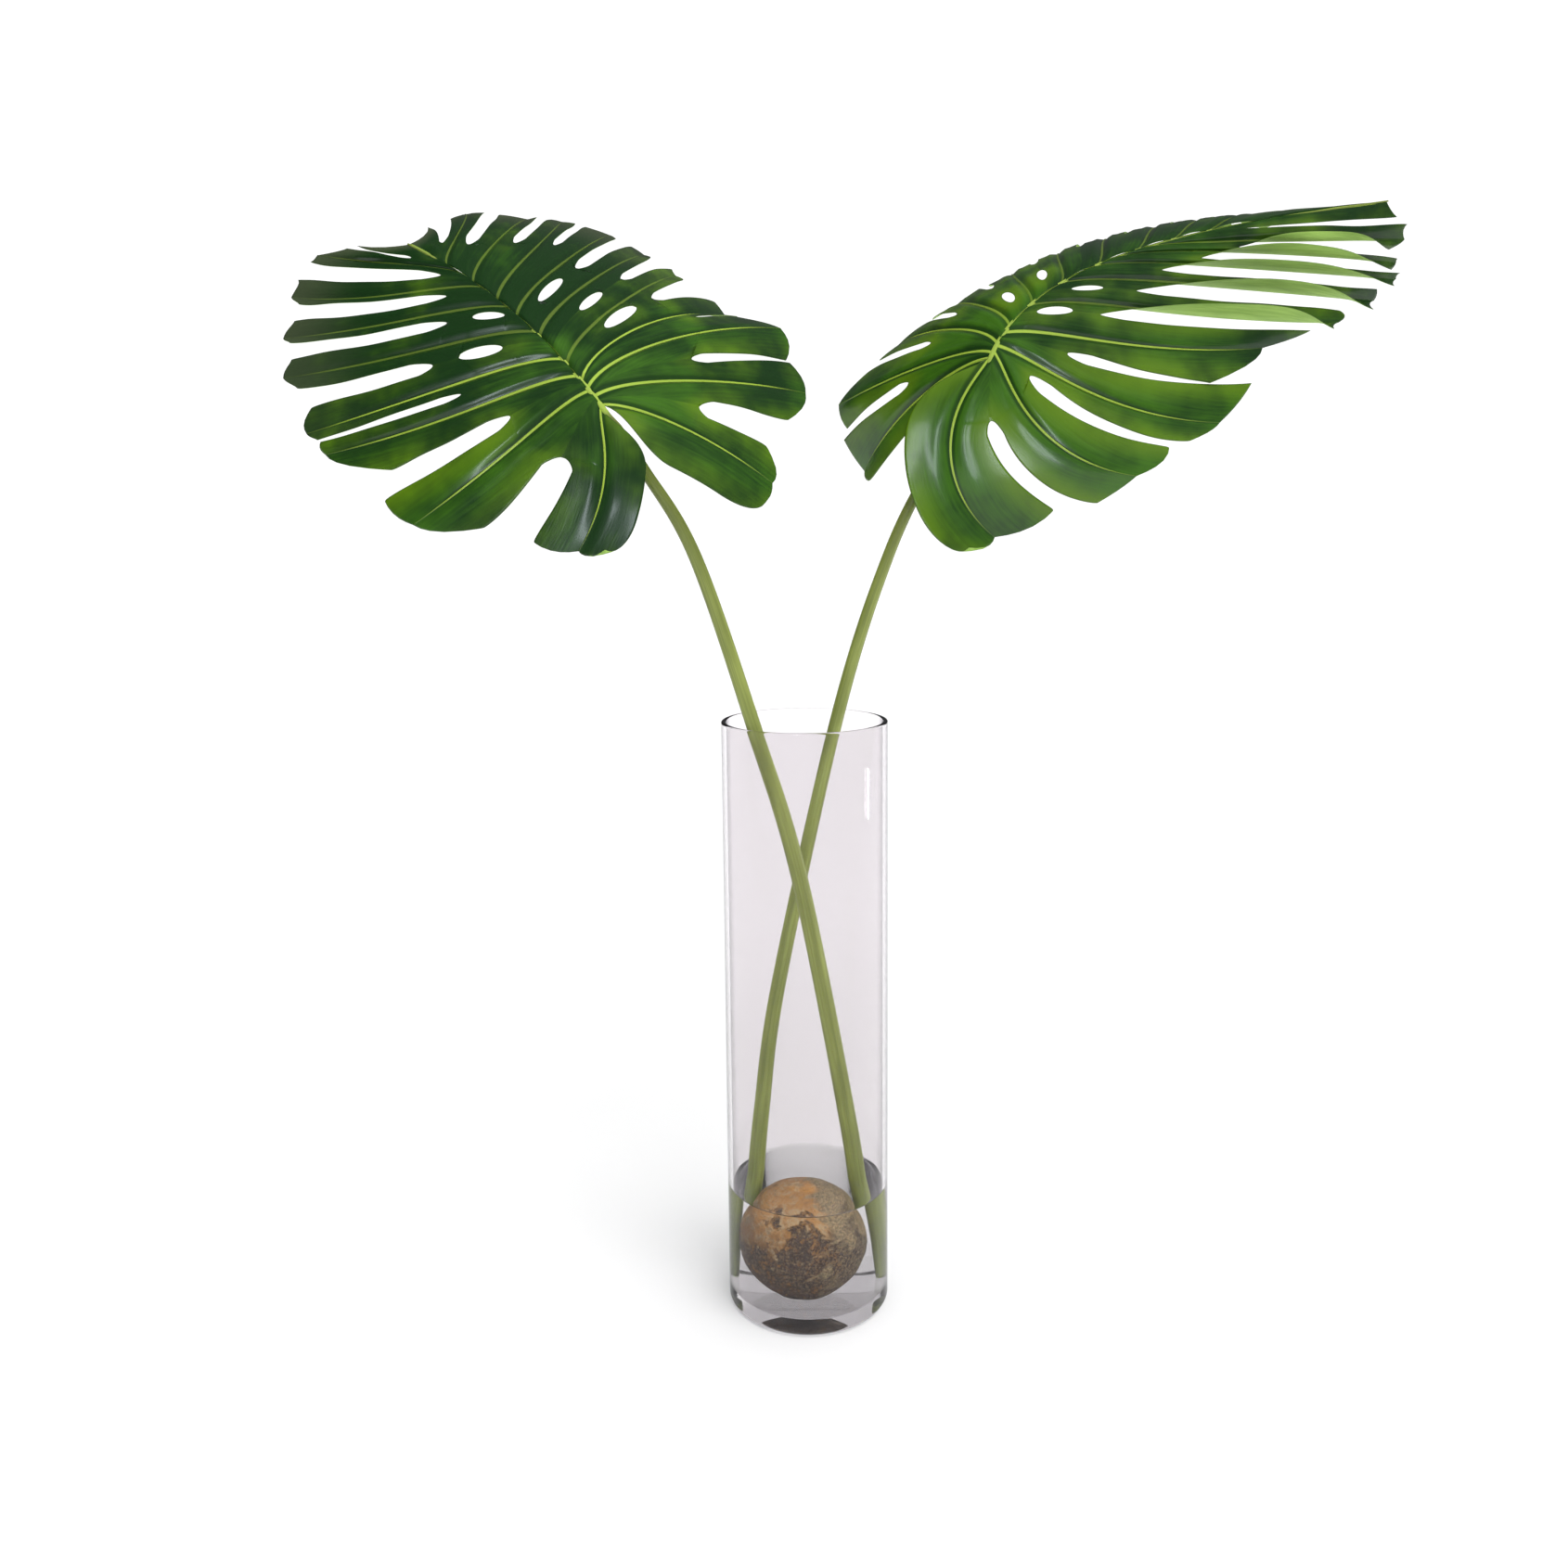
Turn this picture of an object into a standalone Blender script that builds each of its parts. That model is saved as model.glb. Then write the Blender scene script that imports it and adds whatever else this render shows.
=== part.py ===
"""Two monstera leaves standing in a tall glass cylinder vase, with shallow water and one round stone.

Metres, +Z up. The origin is the middle of the vase's underside. +X is to the viewer's right, +Y away.
Each leaf is one solid: petiole and midrib as one tapering rod, with the two halves of the blade on it.
A blade half is drawn from its side veins: every lobe follows one curved vein, neighbouring lobes share
a web near the midrib, and past the web they are parted by a slit that widens to the margin.
"""
import math
from dataclasses import dataclass

import bmesh
import bpy
import numpy as np
from mathutils import Matrix, Vector

MM = 0.001
GAP = 0.3 * MM                  # clear space that touching pieces keep

VASE_RADIUS = 75 * MM
VASE_HEIGHT = 550 * MM
WALL = 4.5 * MM
FLOOR = 14 * MM                 # thick glass base
HEEL = 6 * MM                   # rounded outer edge of the base
RIM_ROUND = 1.5 * MM
VASE_SEGMENTS = 48
INNER_RADIUS = VASE_RADIUS - WALL
CLEAR_RADIUS = INNER_RADIUS * math.cos(math.pi / VASE_SEGMENTS)

WATER_LEVEL = 112 * MM

STONE_HALF = Vector((50, 45, 51)) * MM
STONE_CENTRE = Vector((-5 * MM, -14 * MM, FLOOR + GAP + 49 * MM))   # 2 mm of its foot is worn flat

BLADE_THICKNESS = 0.9 * MM
QUILT = 3.0 * MM                # how far the blade rises between two veins
FLARE = 30.0                    # a side vein leaves the midrib this much nearer to the leaf's tip,
FLARE_SHARE = 0.5               # or this share of its heading nearer where that is less,
FLARE_LENGTH = 0.12             # and the difference dies away over this share of the vein
BOW = 0.12                      # a lobe's end bulges by this share of the width of each half
ROD_SIDES = 10

# Rows of faces along a side vein, counted from the midrib.
HOLE_START, HOLE_END, SLIT_START, ROWS = 1, 4, 5, 10
COLUMNS = 2                     # columns of faces from a vein to the lobe's edge


@dataclass
class Lobe:
    """One side vein and the strip of blade along it. Lengths in mm, angles in degrees.

    share, slit, mouth, throat, out, back, hole and hole_width describe the border to the next lobe,
    the one nearer to the leaf's tip. slit and hole are shares of the vein's length.
    """
    root: float             # place on the midrib
    heading: float          # angle away from the midrib's direction
    bend: float             # change of heading along the vein
    length: float
    droop: float            # change of pitch along the vein
    slit: float = 0.5
    mouth: float = 10       # width of the slit at the margin
    throat: float = 6       # width of the slit just past its round inner end
    round_end: float = 8    # extra width where the lobe's corners are rounded
    share: float = 0.5      # place of the border between the two veins
    out: float = 0          # how far this lobe's corner at the slit runs past its vein
    back: float = 0         # the same for this lobe's corner on the side of the petiole
    hole: tuple = ()
    hole_width: float = 10
    curl: float = 0         # how far its half on the side of the petiole turns up


@dataclass
class Leaf:
    """A whole leaf. Its blade starts at the junction, where the petiole meets the midrib."""
    name: str
    junction: Vector
    facing: float           # turn about +Z
    slope: float            # tilt of the blade, up and away from the viewer
    turn: float             # turn of the midrib within the blade
    midrib: float           # length in mm
    droop: float            # the midrib bows down by this much
    sweep: float            # and sideways by this much
    settle: float           # share of the midrib in which it does most of that, 0 for evenly
    fold: tuple             # how far the left and the right half hang down from the midrib
    basal: tuple            # widest reach of the first lobes beyond their veins, in mm
    tip: float              # where the end lobe's own part of the midrib starts, in mm
    left: list
    right: list
    stalk: list             # points of the petiole, in mm, from its cut end to the junction
    stalk_radii: tuple      # radius in mm at the cut end, at the junction and at the midrib's end


LEFT_LEAF = Leaf(
    name="leaf_left", junction=Vector((-164, -60, 820)) * MM,
    facing=8, slope=58, turn=30, midrib=264, droop=12, sweep=20, settle=0, fold=(8, 8),
    basal=(34, 44), tip=230,
    left=[
        Lobe(7, 172, -62, 130, -22, slit=0.44, mouth=44, throat=24, share=0.44, back=-13),
        Lobe(24, 106, -26, 186, -22, slit=0.33, mouth=30, throat=12, share=0.47, back=-8),
        Lobe(42, 84, -33, 233, -22, slit=0.40, mouth=3, throat=8, round_end=0, share=0.55, out=-6, back=-36),
        Lobe(64, 75, -22, 238, -22, slit=0.42, mouth=22, throat=14, share=0.54, out=-17, back=-6,
             hole=(0.16, 0.32), hole_width=13),
        Lobe(102, 68, -31, 242, -22, slit=0.27, mouth=16, throat=11, share=0.60, out=-16, back=-16,
             hole=(0.05, 0.17), hole_width=10),
        Lobe(140, 62, -34, 223, -22, slit=0.19, mouth=20, throat=10, share=0.58, out=-18, back=-15),
        Lobe(174, 57, -45, 202, -22, slit=0.14, mouth=20, throat=10, share=0.57, out=-7, back=-24),
        Lobe(202, 32, -26, 168, -22, slit=0.36, mouth=10, throat=6, share=0.45, out=4, back=-3),
    ],
    right=[
        Lobe(7, 136, 8, 163, -25, slit=0.50, mouth=46, throat=18, share=0.44, out=-16),
        Lobe(17, 108, -2, 218, -25, slit=0.48, mouth=5, throat=12, round_end=0, share=0.44, out=-8, back=-8),
        Lobe(27, 82, 18, 236, -20, slit=0.70, mouth=4, throat=4, round_end=0, share=0.70, out=-3, back=-10),
        Lobe(36, 72, 14, 236, -35, slit=0.60, mouth=30, throat=10, share=0.60, out=10, back=-7,
             hole=(0.27, 0.48), hole_width=13),
        Lobe(58, 73, -11, 245, -35, slit=0.56, mouth=16, throat=10, share=0.50, out=10,
             hole=(0.24, 0.40), hole_width=10),
        Lobe(96, 76, -16, 240, -35, slit=0.42, mouth=16, throat=12, share=0.55, out=-10, back=-8,
             hole=(0.13, 0.31), hole_width=11),
        Lobe(127, 77, -22, 240, -35, slit=0.50, mouth=10, throat=8, share=0.60, out=-15, back=-20),
        Lobe(153, 76, -32, 225, -35, slit=0.40, mouth=12, throat=10, share=0.51, out=-15, back=-13),
        Lobe(184, 70, -18, 188, -35, slit=0.25, mouth=16, throat=12, share=0.55, out=-22, back=-14),
        Lobe(218, 69, -36, 154, -35, slit=0.30, mouth=40, throat=10, share=0.45, out=-17),
    ],
    stalk=[(56.5, 12, 14.3), (50, 7.5, 81), (36.6, -4, 179), (-5.6, -29, 411), (-43.9, -46, 550),
           (-92, -54, 699), (-133, -60, 772), (-164, -60, 820)],
    stalk_radii=(8.5, 5.2, 1.0),
)

RIGHT_LEAF = Leaf(
    name="leaf_right", junction=Vector((172, 60, 870)) * MM,
    facing=-18, slope=66, turn=-14, midrib=448, droop=21, sweep=-56, settle=0.25, fold=(25, 10),
    basal=(28, 42), tip=315,
    right=[
        Lobe(6, 219, -120, 190, -31, slit=0.40, mouth=14, throat=14, share=0.50, back=-16),
        Lobe(11, 155, -84, 185, -8, slit=0.22, mouth=10, throat=14, share=0.55, out=-7, back=19),
        Lobe(17, 112, -58, 223, -22, slit=0.27, mouth=3, throat=12, round_end=0, share=0.52, out=10),
        Lobe(32, 77, -37, 249, -22, slit=0.25, mouth=4, throat=9, round_end=2, share=0.66, out=-1, back=-38,
             hole=(0.05, 0.16), hole_width=12),
        Lobe(69, 58, -29, 310, -22, slit=0.26, mouth=4, throat=9, round_end=3, share=0.54, out=-22, back=22,
             hole=(0.07, 0.16), hole_width=9, curl=80),
        Lobe(108, 40, -17, 325, -22, slit=0.24, mouth=6, throat=10, round_end=2, share=0.54, out=-11, back=16,
             curl=50),
        Lobe(145, 30, -12, 315, -18, slit=0.30, mouth=2, throat=4, round_end=1, share=0.42, out=3, back=5,
             curl=40),
        Lobe(172, 21, -3, 286, -14, slit=0.38, mouth=6, throat=4, share=0.32, out=-1, back=-7, curl=80),
        Lobe(202, 17, -6, 265, -10, slit=0.22, mouth=6, throat=4, share=0.45, out=7, back=-16, curl=100),
    ],
    left=[
        Lobe(3, 120, 0, 205, -38, slit=0.50, mouth=3, throat=10, round_end=0, share=0.60, out=14, back=-6),
        Lobe(9, 105, 4, 200, -12, slit=0.48, mouth=12, throat=10, share=0.60),
        Lobe(19, 82, 6, 191, -28, slit=0.50, mouth=12, throat=8),
        Lobe(40, 79, -10, 181, -36, slit=0.50, mouth=12, throat=8, hole=(0.14, 0.30)),
        Lobe(71, 76, -25, 173, -40, slit=0.50, mouth=12, throat=8, hole=(0.14, 0.30)),
        Lobe(107, 72, -26, 164, -40, slit=0.45, mouth=12, throat=8),
        Lobe(147, 68, -27, 157, -42, slit=0.42, mouth=12, throat=8),
        Lobe(189, 62, -27, 150, -42, slit=0.42, mouth=12, throat=8),
        Lobe(226, 55, -27, 141, -42, slit=0.40, mouth=12, throat=8),
        Lobe(262, 45, -24, 128, -40, slit=0.40, mouth=12, throat=8),
    ],
    stalk=[(-57, 15, 14.3), (-52, 19, 81), (-43.5, 26, 170), (-25.5, 35, 294), (33.4, 54.5, 550),
           (81, 58, 697), (124, 60, 784), (172, 60, 870)],
    stalk_radii=(8.0, 4.6, 1.0),
)


def make_material(name, colour, roughness, alpha=1.0):
    """A Principled material with the colour of the real thing."""
    material = bpy.data.materials.new(name)
    material.use_nodes = True
    shader = material.node_tree.nodes["Principled BSDF"]
    shader.inputs["Base Color"].default_value = (*colour, 1.0)
    shader.inputs["Roughness"].default_value = roughness
    shader.inputs["Metallic"].default_value = 0.0
    shader.inputs["Alpha"].default_value = alpha
    return material


def add_object(name, mesh, material=None):
    """Puts a mesh into the scene."""
    obj = bpy.data.objects.new(name, mesh)
    bpy.context.scene.collection.objects.link(obj)
    if material:
        mesh.materials.append(material)
    return obj


def apply_modifiers(obj):
    """Replaces an object's mesh with what its modifiers make of it."""
    depsgraph = bpy.context.evaluated_depsgraph_get()
    mesh = bpy.data.meshes.new_from_object(obj.evaluated_get(depsgraph))
    obj.modifiers.clear()
    obj.data = mesh


def arc(centre_r, centre_z, radius, start, end, steps):
    """Points of a round stretch of a turned profile, as (distance from the axis, height)."""
    angles = [math.radians(start + (end - start) * i / steps) for i in range(steps + 1)]
    return [(centre_r + radius * math.cos(a), centre_z + radius * math.sin(a)) for a in angles]


def turned(name, profile, segments, material=None):
    """Turns a profile, whose two ends lie on the axis, about Z."""
    bm = bmesh.new()
    verts = [bm.verts.new((r, 0, z)) for r, z in profile]
    edges = [bm.edges.new(pair) for pair in zip(verts, verts[1:])]
    bmesh.ops.spin(bm, geom=verts + edges, cent=(0, 0, 0), axis=(0, 0, 1), angle=math.tau,
                   steps=segments, use_duplicate=False)
    bmesh.ops.remove_doubles(bm, verts=bm.verts, dist=0.01 * MM)
    bmesh.ops.recalc_face_normals(bm, faces=bm.faces)
    mesh = bpy.data.meshes.new(name)
    bm.to_mesh(mesh)
    bm.free()
    mesh.shade_smooth()
    return add_object(name, mesh, material)


def make_vase():
    """The glass cylinder: thick floor, rounded heel, straight wall and a softened rim."""
    outer_rim = arc(VASE_RADIUS - RIM_ROUND, VASE_HEIGHT - RIM_ROUND, RIM_ROUND, 0, 90, 2)
    inner_rim = arc(INNER_RADIUS + RIM_ROUND, VASE_HEIGHT - RIM_ROUND, RIM_ROUND, 90, 180, 2)
    profile = [(0, 0)]
    profile += arc(VASE_RADIUS - HEEL, HEEL, HEEL, -90, 0, 3)
    profile += outer_rim + inner_rim
    profile += [(INNER_RADIUS, FLOOR), (0, FLOOR)]
    return turned("vase", profile, VASE_SEGMENTS, make_material("clear_glass", (0.9, 0.9, 0.92), 0.03, 0.25))


def stone_mesh(name, grow):
    """A round river stone. The foot is cut off flat where it stands, unless it is grown for a cavity."""
    bm = bmesh.new()
    bmesh.ops.create_icosphere(bm, subdivisions=3, radius=1.0)
    bmesh.ops.scale(bm, vec=STONE_HALF + Vector((grow, grow, grow)), verts=bm.verts)
    bmesh.ops.translate(bm, vec=STONE_CENTRE, verts=bm.verts)
    if not grow:
        foot = (0, 0, FLOOR + GAP)
        whole = bm.verts[:] + bm.edges[:] + bm.faces[:]
        cut = bmesh.ops.bisect_plane(bm, geom=whole, plane_co=foot, plane_no=(0, 0, -1), clear_outer=True)
        rim = [e for e in cut["geom_cut"] if isinstance(e, bmesh.types.BMEdge)]
        bmesh.ops.contextual_create(bm, geom=rim)
    bmesh.ops.recalc_face_normals(bm, faces=bm.faces)
    mesh = bpy.data.meshes.new(name)
    bm.to_mesh(mesh)
    bm.free()
    mesh.shade_smooth()
    return mesh


def smooth_path(points, per_span):
    """A Catmull-Rom curve through the points."""
    points = [np.array(p, float) for p in points]
    ends = [2 * points[0] - points[1]] + points + [2 * points[-1] - points[-2]]
    path = []
    for a, b, c, d in zip(ends, ends[1:], ends[2:], ends[3:]):
        for i in range(per_span):
            t = i / per_span
            path.append(0.5 * (2 * b + (c - a) * t + (2 * a - 5 * b + 4 * c - d) * t * t
                               + (3 * b - a - 3 * c + d) * t ** 3))
    path.append(points[-1])
    return np.array(path)


def rod_mesh(name, path, radii, sides, flat_foot):
    """A closed round rod along a path. With flat_foot its first ring lies level."""
    tangents = np.gradient(path, axis=0)
    tangents /= np.linalg.norm(tangents, axis=1, keepdims=True)
    side = np.array((0.0, -1.0, 0.0))
    verts = []
    for index, (point, tangent, radius) in enumerate(zip(path, tangents, radii)):
        if index == 0 and flat_foot:
            tangent = np.array((0.0, 0.0, 1.0))
        side = side - tangent * side.dot(tangent)
        side /= np.linalg.norm(side)
        other = np.cross(tangent, side)
        for i in range(sides):
            angle = math.tau * i / sides
            verts.append(point + radius * (math.cos(angle) * side + math.sin(angle) * other))
    faces = [tuple(reversed(range(sides)))]
    for ring in range(len(path) - 1):
        for i in range(sides):
            a, b = ring * sides + i, ring * sides + (i + 1) % sides
            faces.append((a, b, b + sides, a + sides))
    faces.append(tuple(range((len(path) - 1) * sides, len(path) * sides)))
    mesh = bpy.data.meshes.new(name)
    mesh.from_pydata([tuple(v) for v in verts], [], faces)
    mesh.shade_smooth()
    return mesh


def stalk_path(leaf, per_span):
    """The petiole's centre line and its radii."""
    path = smooth_path([np.array(p) * MM for p in leaf.stalk], per_span)
    share = np.linspace(0, 1, len(path))
    foot, top, _ = leaf.stalk_radii
    return path, (foot + (top - foot) * share) * MM


def make_water(material):
    """Water up to its level, with a plain hole for each petiole and a hollow for the stone."""
    radius = CLEAR_RADIUS - GAP
    foot = FLOOR + GAP
    water = turned("water", [(0, foot), (radius, foot), (radius, WATER_LEVEL), (0, WATER_LEVEL)],
                   VASE_SEGMENTS, material)
    cutters = bpy.data.collections.new("water_cutters")
    bpy.context.scene.collection.children.link(cutters)
    meshes = [stone_mesh("stone_hollow", GAP)]
    for leaf in (LEFT_LEAF, RIGHT_LEAF):
        path, radii = stalk_path(leaf, 3)
        wet = path[:, 2] < WATER_LEVEL + 60 * MM
        path, radii = path[wet], radii[wet] / math.cos(math.pi / ROD_SIDES) + GAP
        below = path[0] + (path[0] - path[1]) * 0.25
        path = np.vstack([below, path])
        radii = np.concatenate([radii[:1], radii])
        meshes.append(rod_mesh(leaf.name + "_hole", path, radii, ROD_SIDES, flat_foot=False))
    for mesh in meshes:
        cutters.objects.link(bpy.data.objects.new(mesh.name, mesh))
    modifier = water.modifiers.new("hollows", "BOOLEAN")
    modifier.operation = "DIFFERENCE"
    modifier.operand_type = "COLLECTION"
    modifier.collection = cutters
    apply_modifiers(water)
    for obj in list(cutters.objects):
        bpy.data.objects.remove(obj)
    bpy.data.collections.remove(cutters)
    return water


def rotation(axis, degrees):
    """A 3x3 rotation as an array."""
    return np.array(Matrix.Rotation(math.radians(degrees), 3, axis))


class Midrib:
    """The midrib's curve, with a frame along it: columns are forward, left and up."""
    STEPS = 60

    def __init__(self, leaf):
        self.length = leaf.midrib * MM
        base = (rotation("Z", leaf.facing) @ rotation("X", leaf.slope) @ rotation("Z", leaf.turn)
                @ np.array([(0, -1, 0), (1, 0, 0), (0, 0, 1)], float))
        share = np.linspace(0, 1, self.STEPS + 1)
        if leaf.settle:
            share = (1 - np.exp(-share / leaf.settle)) / (1 - math.exp(-1 / leaf.settle))
        self.frames = np.array([base @ rotation("Z", leaf.sweep * s) @ rotation("Y", leaf.droop * s)
                                for s in share])
        forward = self.frames[:, :, 0]
        steps = (forward[1:] + forward[:-1]) / 2 * self.length / self.STEPS
        start = np.array(leaf.junction)
        self.points = np.vstack([[start], start + np.cumsum(steps, axis=0)])

    def at(self, distance):
        """Point and frame at a distance from the junction."""
        place = min(max(distance / self.length, 0), 1) * self.STEPS
        low = min(int(place), self.STEPS - 1)
        mix = place - low
        frame = self.frames[low] * (1 - mix) + self.frames[low + 1] * mix
        point = self.points[low] * (1 - mix) + self.points[low + 1] * mix
        return point, frame / np.linalg.norm(frame, axis=0)


def border_rows(lobe):
    """Places of the rows along the border between two lobes, close together where it turns."""
    start, end = lobe.hole or (lobe.slit * 0.3, lobe.slit * 0.7)
    rows = np.zeros(ROWS + 1)
    for row in range(ROWS + 1):
        if row <= HOLE_START:
            rows[row] = start * row / HOLE_START
        elif row <= HOLE_END:
            rows[row] = start + (end - start) * (1 - math.cos(math.pi * (row - HOLE_START)
                                                              / (HOLE_END - HOLE_START))) / 2
        elif row <= SLIT_START:
            rows[row] = end + (lobe.slit - end) * (row - HOLE_END) / (SLIT_START - HOLE_END)
        else:
            u = (row - SLIT_START) / (ROWS - SLIT_START)
            eased = 0.45 * u + 0.55 * (1 - math.cos(math.pi * u)) / 2
            rows[row] = lobe.slit + (1 - lobe.slit) * eased
    return rows


def border_gap(lobe, row, place):
    """Width of the opening between two lobes at a row of their border."""
    if lobe.hole and HOLE_START < row < HOLE_END:
        u = (place - lobe.hole[0]) / (lobe.hole[1] - lobe.hole[0])
        return lobe.hole_width * MM * math.sqrt(max(0, 1 - (2 * u - 1) ** 2))
    if row <= SLIT_START:
        return 0.0
    u = (place - lobe.slit) / (1 - lobe.slit)
    end = max(0, (place - 0.8) / 0.2)
    gap = lobe.throat * math.sqrt(min(1, u / 0.12)) + (lobe.mouth - lobe.throat) * u
    return (gap + lobe.round_end * (1 - math.sqrt(max(0, 1 - end * end)))) * MM


def lobe_point(vein, rows, row, edge, w):
    """The point at share w of the way from a vein to an edge of its lobe."""
    points, way, above = vein
    base, stretch, curl = edge
    reach = (base - points[row]) * w
    width = np.linalg.norm(reach)
    turn = math.radians(curl) * w * (2 - w)
    bow = BOW * width * (1 - w) * 4 * rows[row] ** 4
    return (points[row] + reach * math.cos(turn) + above * width * math.sin(turn)
            + stretch * w * w + way[row] * bow)


class HalfBlade:
    """One half of a blade as a sheet of triangles. side is 1 for the left half and -1 for the right."""

    def __init__(self, leaf, midrib, side):
        self.leaf, self.midrib, self.side = leaf, midrib, side
        self.lobes = leaf.left if side > 0 else leaf.right
        self.fold = math.radians(leaf.fold[0 if side > 0 else 1])
        self.basal = leaf.basal[0 if side > 0 else 1] * MM
        self.points, self.triangles = [], []
        self.build()

    def add(self, point):
        self.points.append(point)
        return len(self.points) - 1

    def vein(self, index, rows):
        """Points, directions and the upper side's direction of a vein, or of the end lobe's midrib."""
        if index == len(self.lobes):
            start = self.leaf.tip * MM
            pairs = [self.midrib.at(start + (self.midrib.length - start) * t) for t in rows]
            points = np.array([point for point, _ in pairs])
            return points, np.array([frame[:, 0] for _, frame in pairs]), pairs[0][1][:, 2]
        lobe = self.lobes[index]
        root, frame = self.midrib.at(lobe.root * MM)
        forward, left, up = frame.T
        across = math.cos(self.fold) * self.side * left - math.sin(self.fold) * up
        above = math.cos(self.fold) * up + math.sin(self.fold) * self.side * left
        t = np.linspace(0, 1, 41)
        flare = min(FLARE, lobe.heading * FLARE_SHARE) * np.exp(-t / FLARE_LENGTH)
        heading = np.radians(lobe.heading + lobe.bend * t - flare)[:, None]
        pitch = np.radians(lobe.droop * t)[:, None]
        way = np.cos(pitch) * (np.cos(heading) * forward + np.sin(heading) * across) + np.sin(pitch) * above
        steps = (way[1:] + way[:-1]) / 2 * lobe.length * MM / 40
        points = np.vstack([[root], root + np.cumsum(steps, axis=0)])
        points = np.stack([np.interp(rows, t, points[:, i]) for i in range(3)], 1)
        return points, np.stack([np.interp(rows, t, way[:, i]) for i in range(3)], 1), above

    def border(self, index):
        """The border between lobe index and the next: the edge points of both lobes, row by row."""
        lobe = self.lobes[index]
        rows = border_rows(lobe)
        here, way, above = self.vein(index, rows)
        there, next_way, _ = self.vein(index + 1, rows)
        last = index + 1 == len(self.lobes)
        back, curl = (0, 0) if last else (self.lobes[index + 1].back, self.lobes[index + 1].curl)
        near, far, welded = [], [], []
        for row in range(ROWS + 1):
            across = there[row] - here[row]
            width = max(np.linalg.norm(across), 1e-6)
            rise = above * QUILT * min(1, width / (40 * MM))
            middle = here[row] + across * lobe.share + rise
            gap = min(border_gap(lobe, row, rows[row]), width * 0.8)
            reach = rows[row] ** 4 * MM
            shift = across / width * gap / 2
            rolled = curl * math.sin(math.pi * max(0, (rows[row] - lobe.slit) / (1 - lobe.slit)))
            near.append((middle - shift, way[row] * reach * lobe.out, 0))
            far.append((middle + shift, next_way[row] * reach * back, rolled))
            welded.append(gap == 0)
        return rows, near, far, welded

    def outer_border(self):
        """The free edge of the first lobe, along the notch where the petiole joins."""
        lobe = self.lobes[0]
        rows = border_rows(lobe)
        here, way, above = self.vein(0, rows)
        edge = []
        for row, place in enumerate(rows):
            outward = np.cross(way[row], above) * self.side
            outward /= -np.linalg.norm(outward)
            end = max(0, (place - 0.75) / 0.25)
            swell = math.sin(math.pi / 2 * min(1, place / 0.45)) ** 1.4
            swell *= 1 - 0.45 * (1 - math.sqrt(1 - end * end))
            edge.append((here[row] + outward * self.basal * swell, way[row] * place ** 4 * lobe.back * MM, 0))
        return rows, edge

    def strip(self, vein_ids, vein, rows, edge, edge_ids, mirror):
        """Faces between a vein and one edge of its lobe."""
        points, _, above = vein
        grid = []
        for row in range(ROWS + 1):
            width = np.linalg.norm(edge[row][0] - points[row])
            lift = above * QUILT * 0.6 * min(1, width / (20 * MM))
            line = [vein_ids[row]]
            for column in range(1, COLUMNS):
                w = column / COLUMNS
                if width < 0.1 * MM:
                    line.append(vein_ids[row])
                    continue
                bulge = lift * (math.sin(math.pi / 2 * w) - w)
                line.append(self.add(lobe_point(vein, rows, row, edge[row], w) + bulge))
            line.append(edge_ids[row] if width >= 0.1 * MM else vein_ids[row])
            grid.append(line)
        for row in range(ROWS):
            for column in range(COLUMNS):
                a, b = grid[row][column], grid[row][column + 1]
                c, d = grid[row + 1][column + 1], grid[row + 1][column]
                if mirror:
                    a, b, c, d = b, a, d, c
                for triangle in ((a, b, c), (a, c, d)):
                    if len(set(triangle)) == 3:
                        self.triangles.append(triangle)

    def build(self):
        count = len(self.lobes)
        borders = [self.border(index) for index in range(count)]
        before, far = self.outer_border()
        shared = [None] * (ROWS + 1)
        for index in range(count + 1):
            rows = (before + borders[index][0]) / 2 if index < count else before
            vein = self.vein(index, rows)
            vein_ids = [self.add(point) for point in vein[0]]
            self.strip(vein_ids, vein, rows, far, self.edge_ids(vein, rows, far, shared), mirror=self.side < 0)
            if index == count:
                break
            before, near, far, welded = borders[index]
            near_ids = self.edge_ids(vein, rows, near, [None] * (ROWS + 1))
            shared = [near_ids[row] if welded[row] else None for row in range(ROWS + 1)]
            self.strip(vein_ids, vein, rows, near, near_ids, mirror=self.side > 0)

    def edge_ids(self, vein, rows, edge, shared):
        """The points along an edge of a lobe, some of which it may share with the lobe before."""
        return [self.add(lobe_point(vein, rows, row, edge[row], 1)) if known is None else known
                for row, known in enumerate(shared)]

    def solid(self, name, thickness):
        """The sheet with its thickness, split alike on both faces."""
        points = np.array(self.points)
        triangles = np.array(self.triangles)
        a, b, c = (points[triangles[:, i]] for i in range(3))
        face_normals = np.cross(b - a, c - a)
        normals = np.zeros_like(points)
        for corner in range(3):
            np.add.at(normals, triangles[:, corner], face_normals)
        normals /= np.maximum(np.linalg.norm(normals, axis=1, keepdims=True), 1e-12)
        count = len(points)
        verts = np.vstack([points + normals * thickness / 2, points - normals * thickness / 2])
        faces = [tuple(t) for t in triangles] + [tuple(t[::-1] + count) for t in triangles]
        directed = {(t[i], t[(i + 1) % 3]) for t in triangles for i in range(3)}
        for start, end in sorted(directed):
            if (end, start) not in directed:
                faces.append((end, start, start + count))
                faces.append((end, start + count, end + count))
        mesh = bpy.data.meshes.new(name)
        mesh.from_pydata([tuple(v) for v in verts], [], [tuple(int(i) for i in f) for f in faces])
        bm = bmesh.new()
        bm.from_mesh(mesh)
        loose = [v for v in bm.verts if not v.link_faces]
        bmesh.ops.delete(bm, geom=loose, context="VERTS")
        bmesh.ops.recalc_face_normals(bm, faces=bm.faces)
        bm.to_mesh(mesh)
        bm.free()
        return mesh


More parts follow.
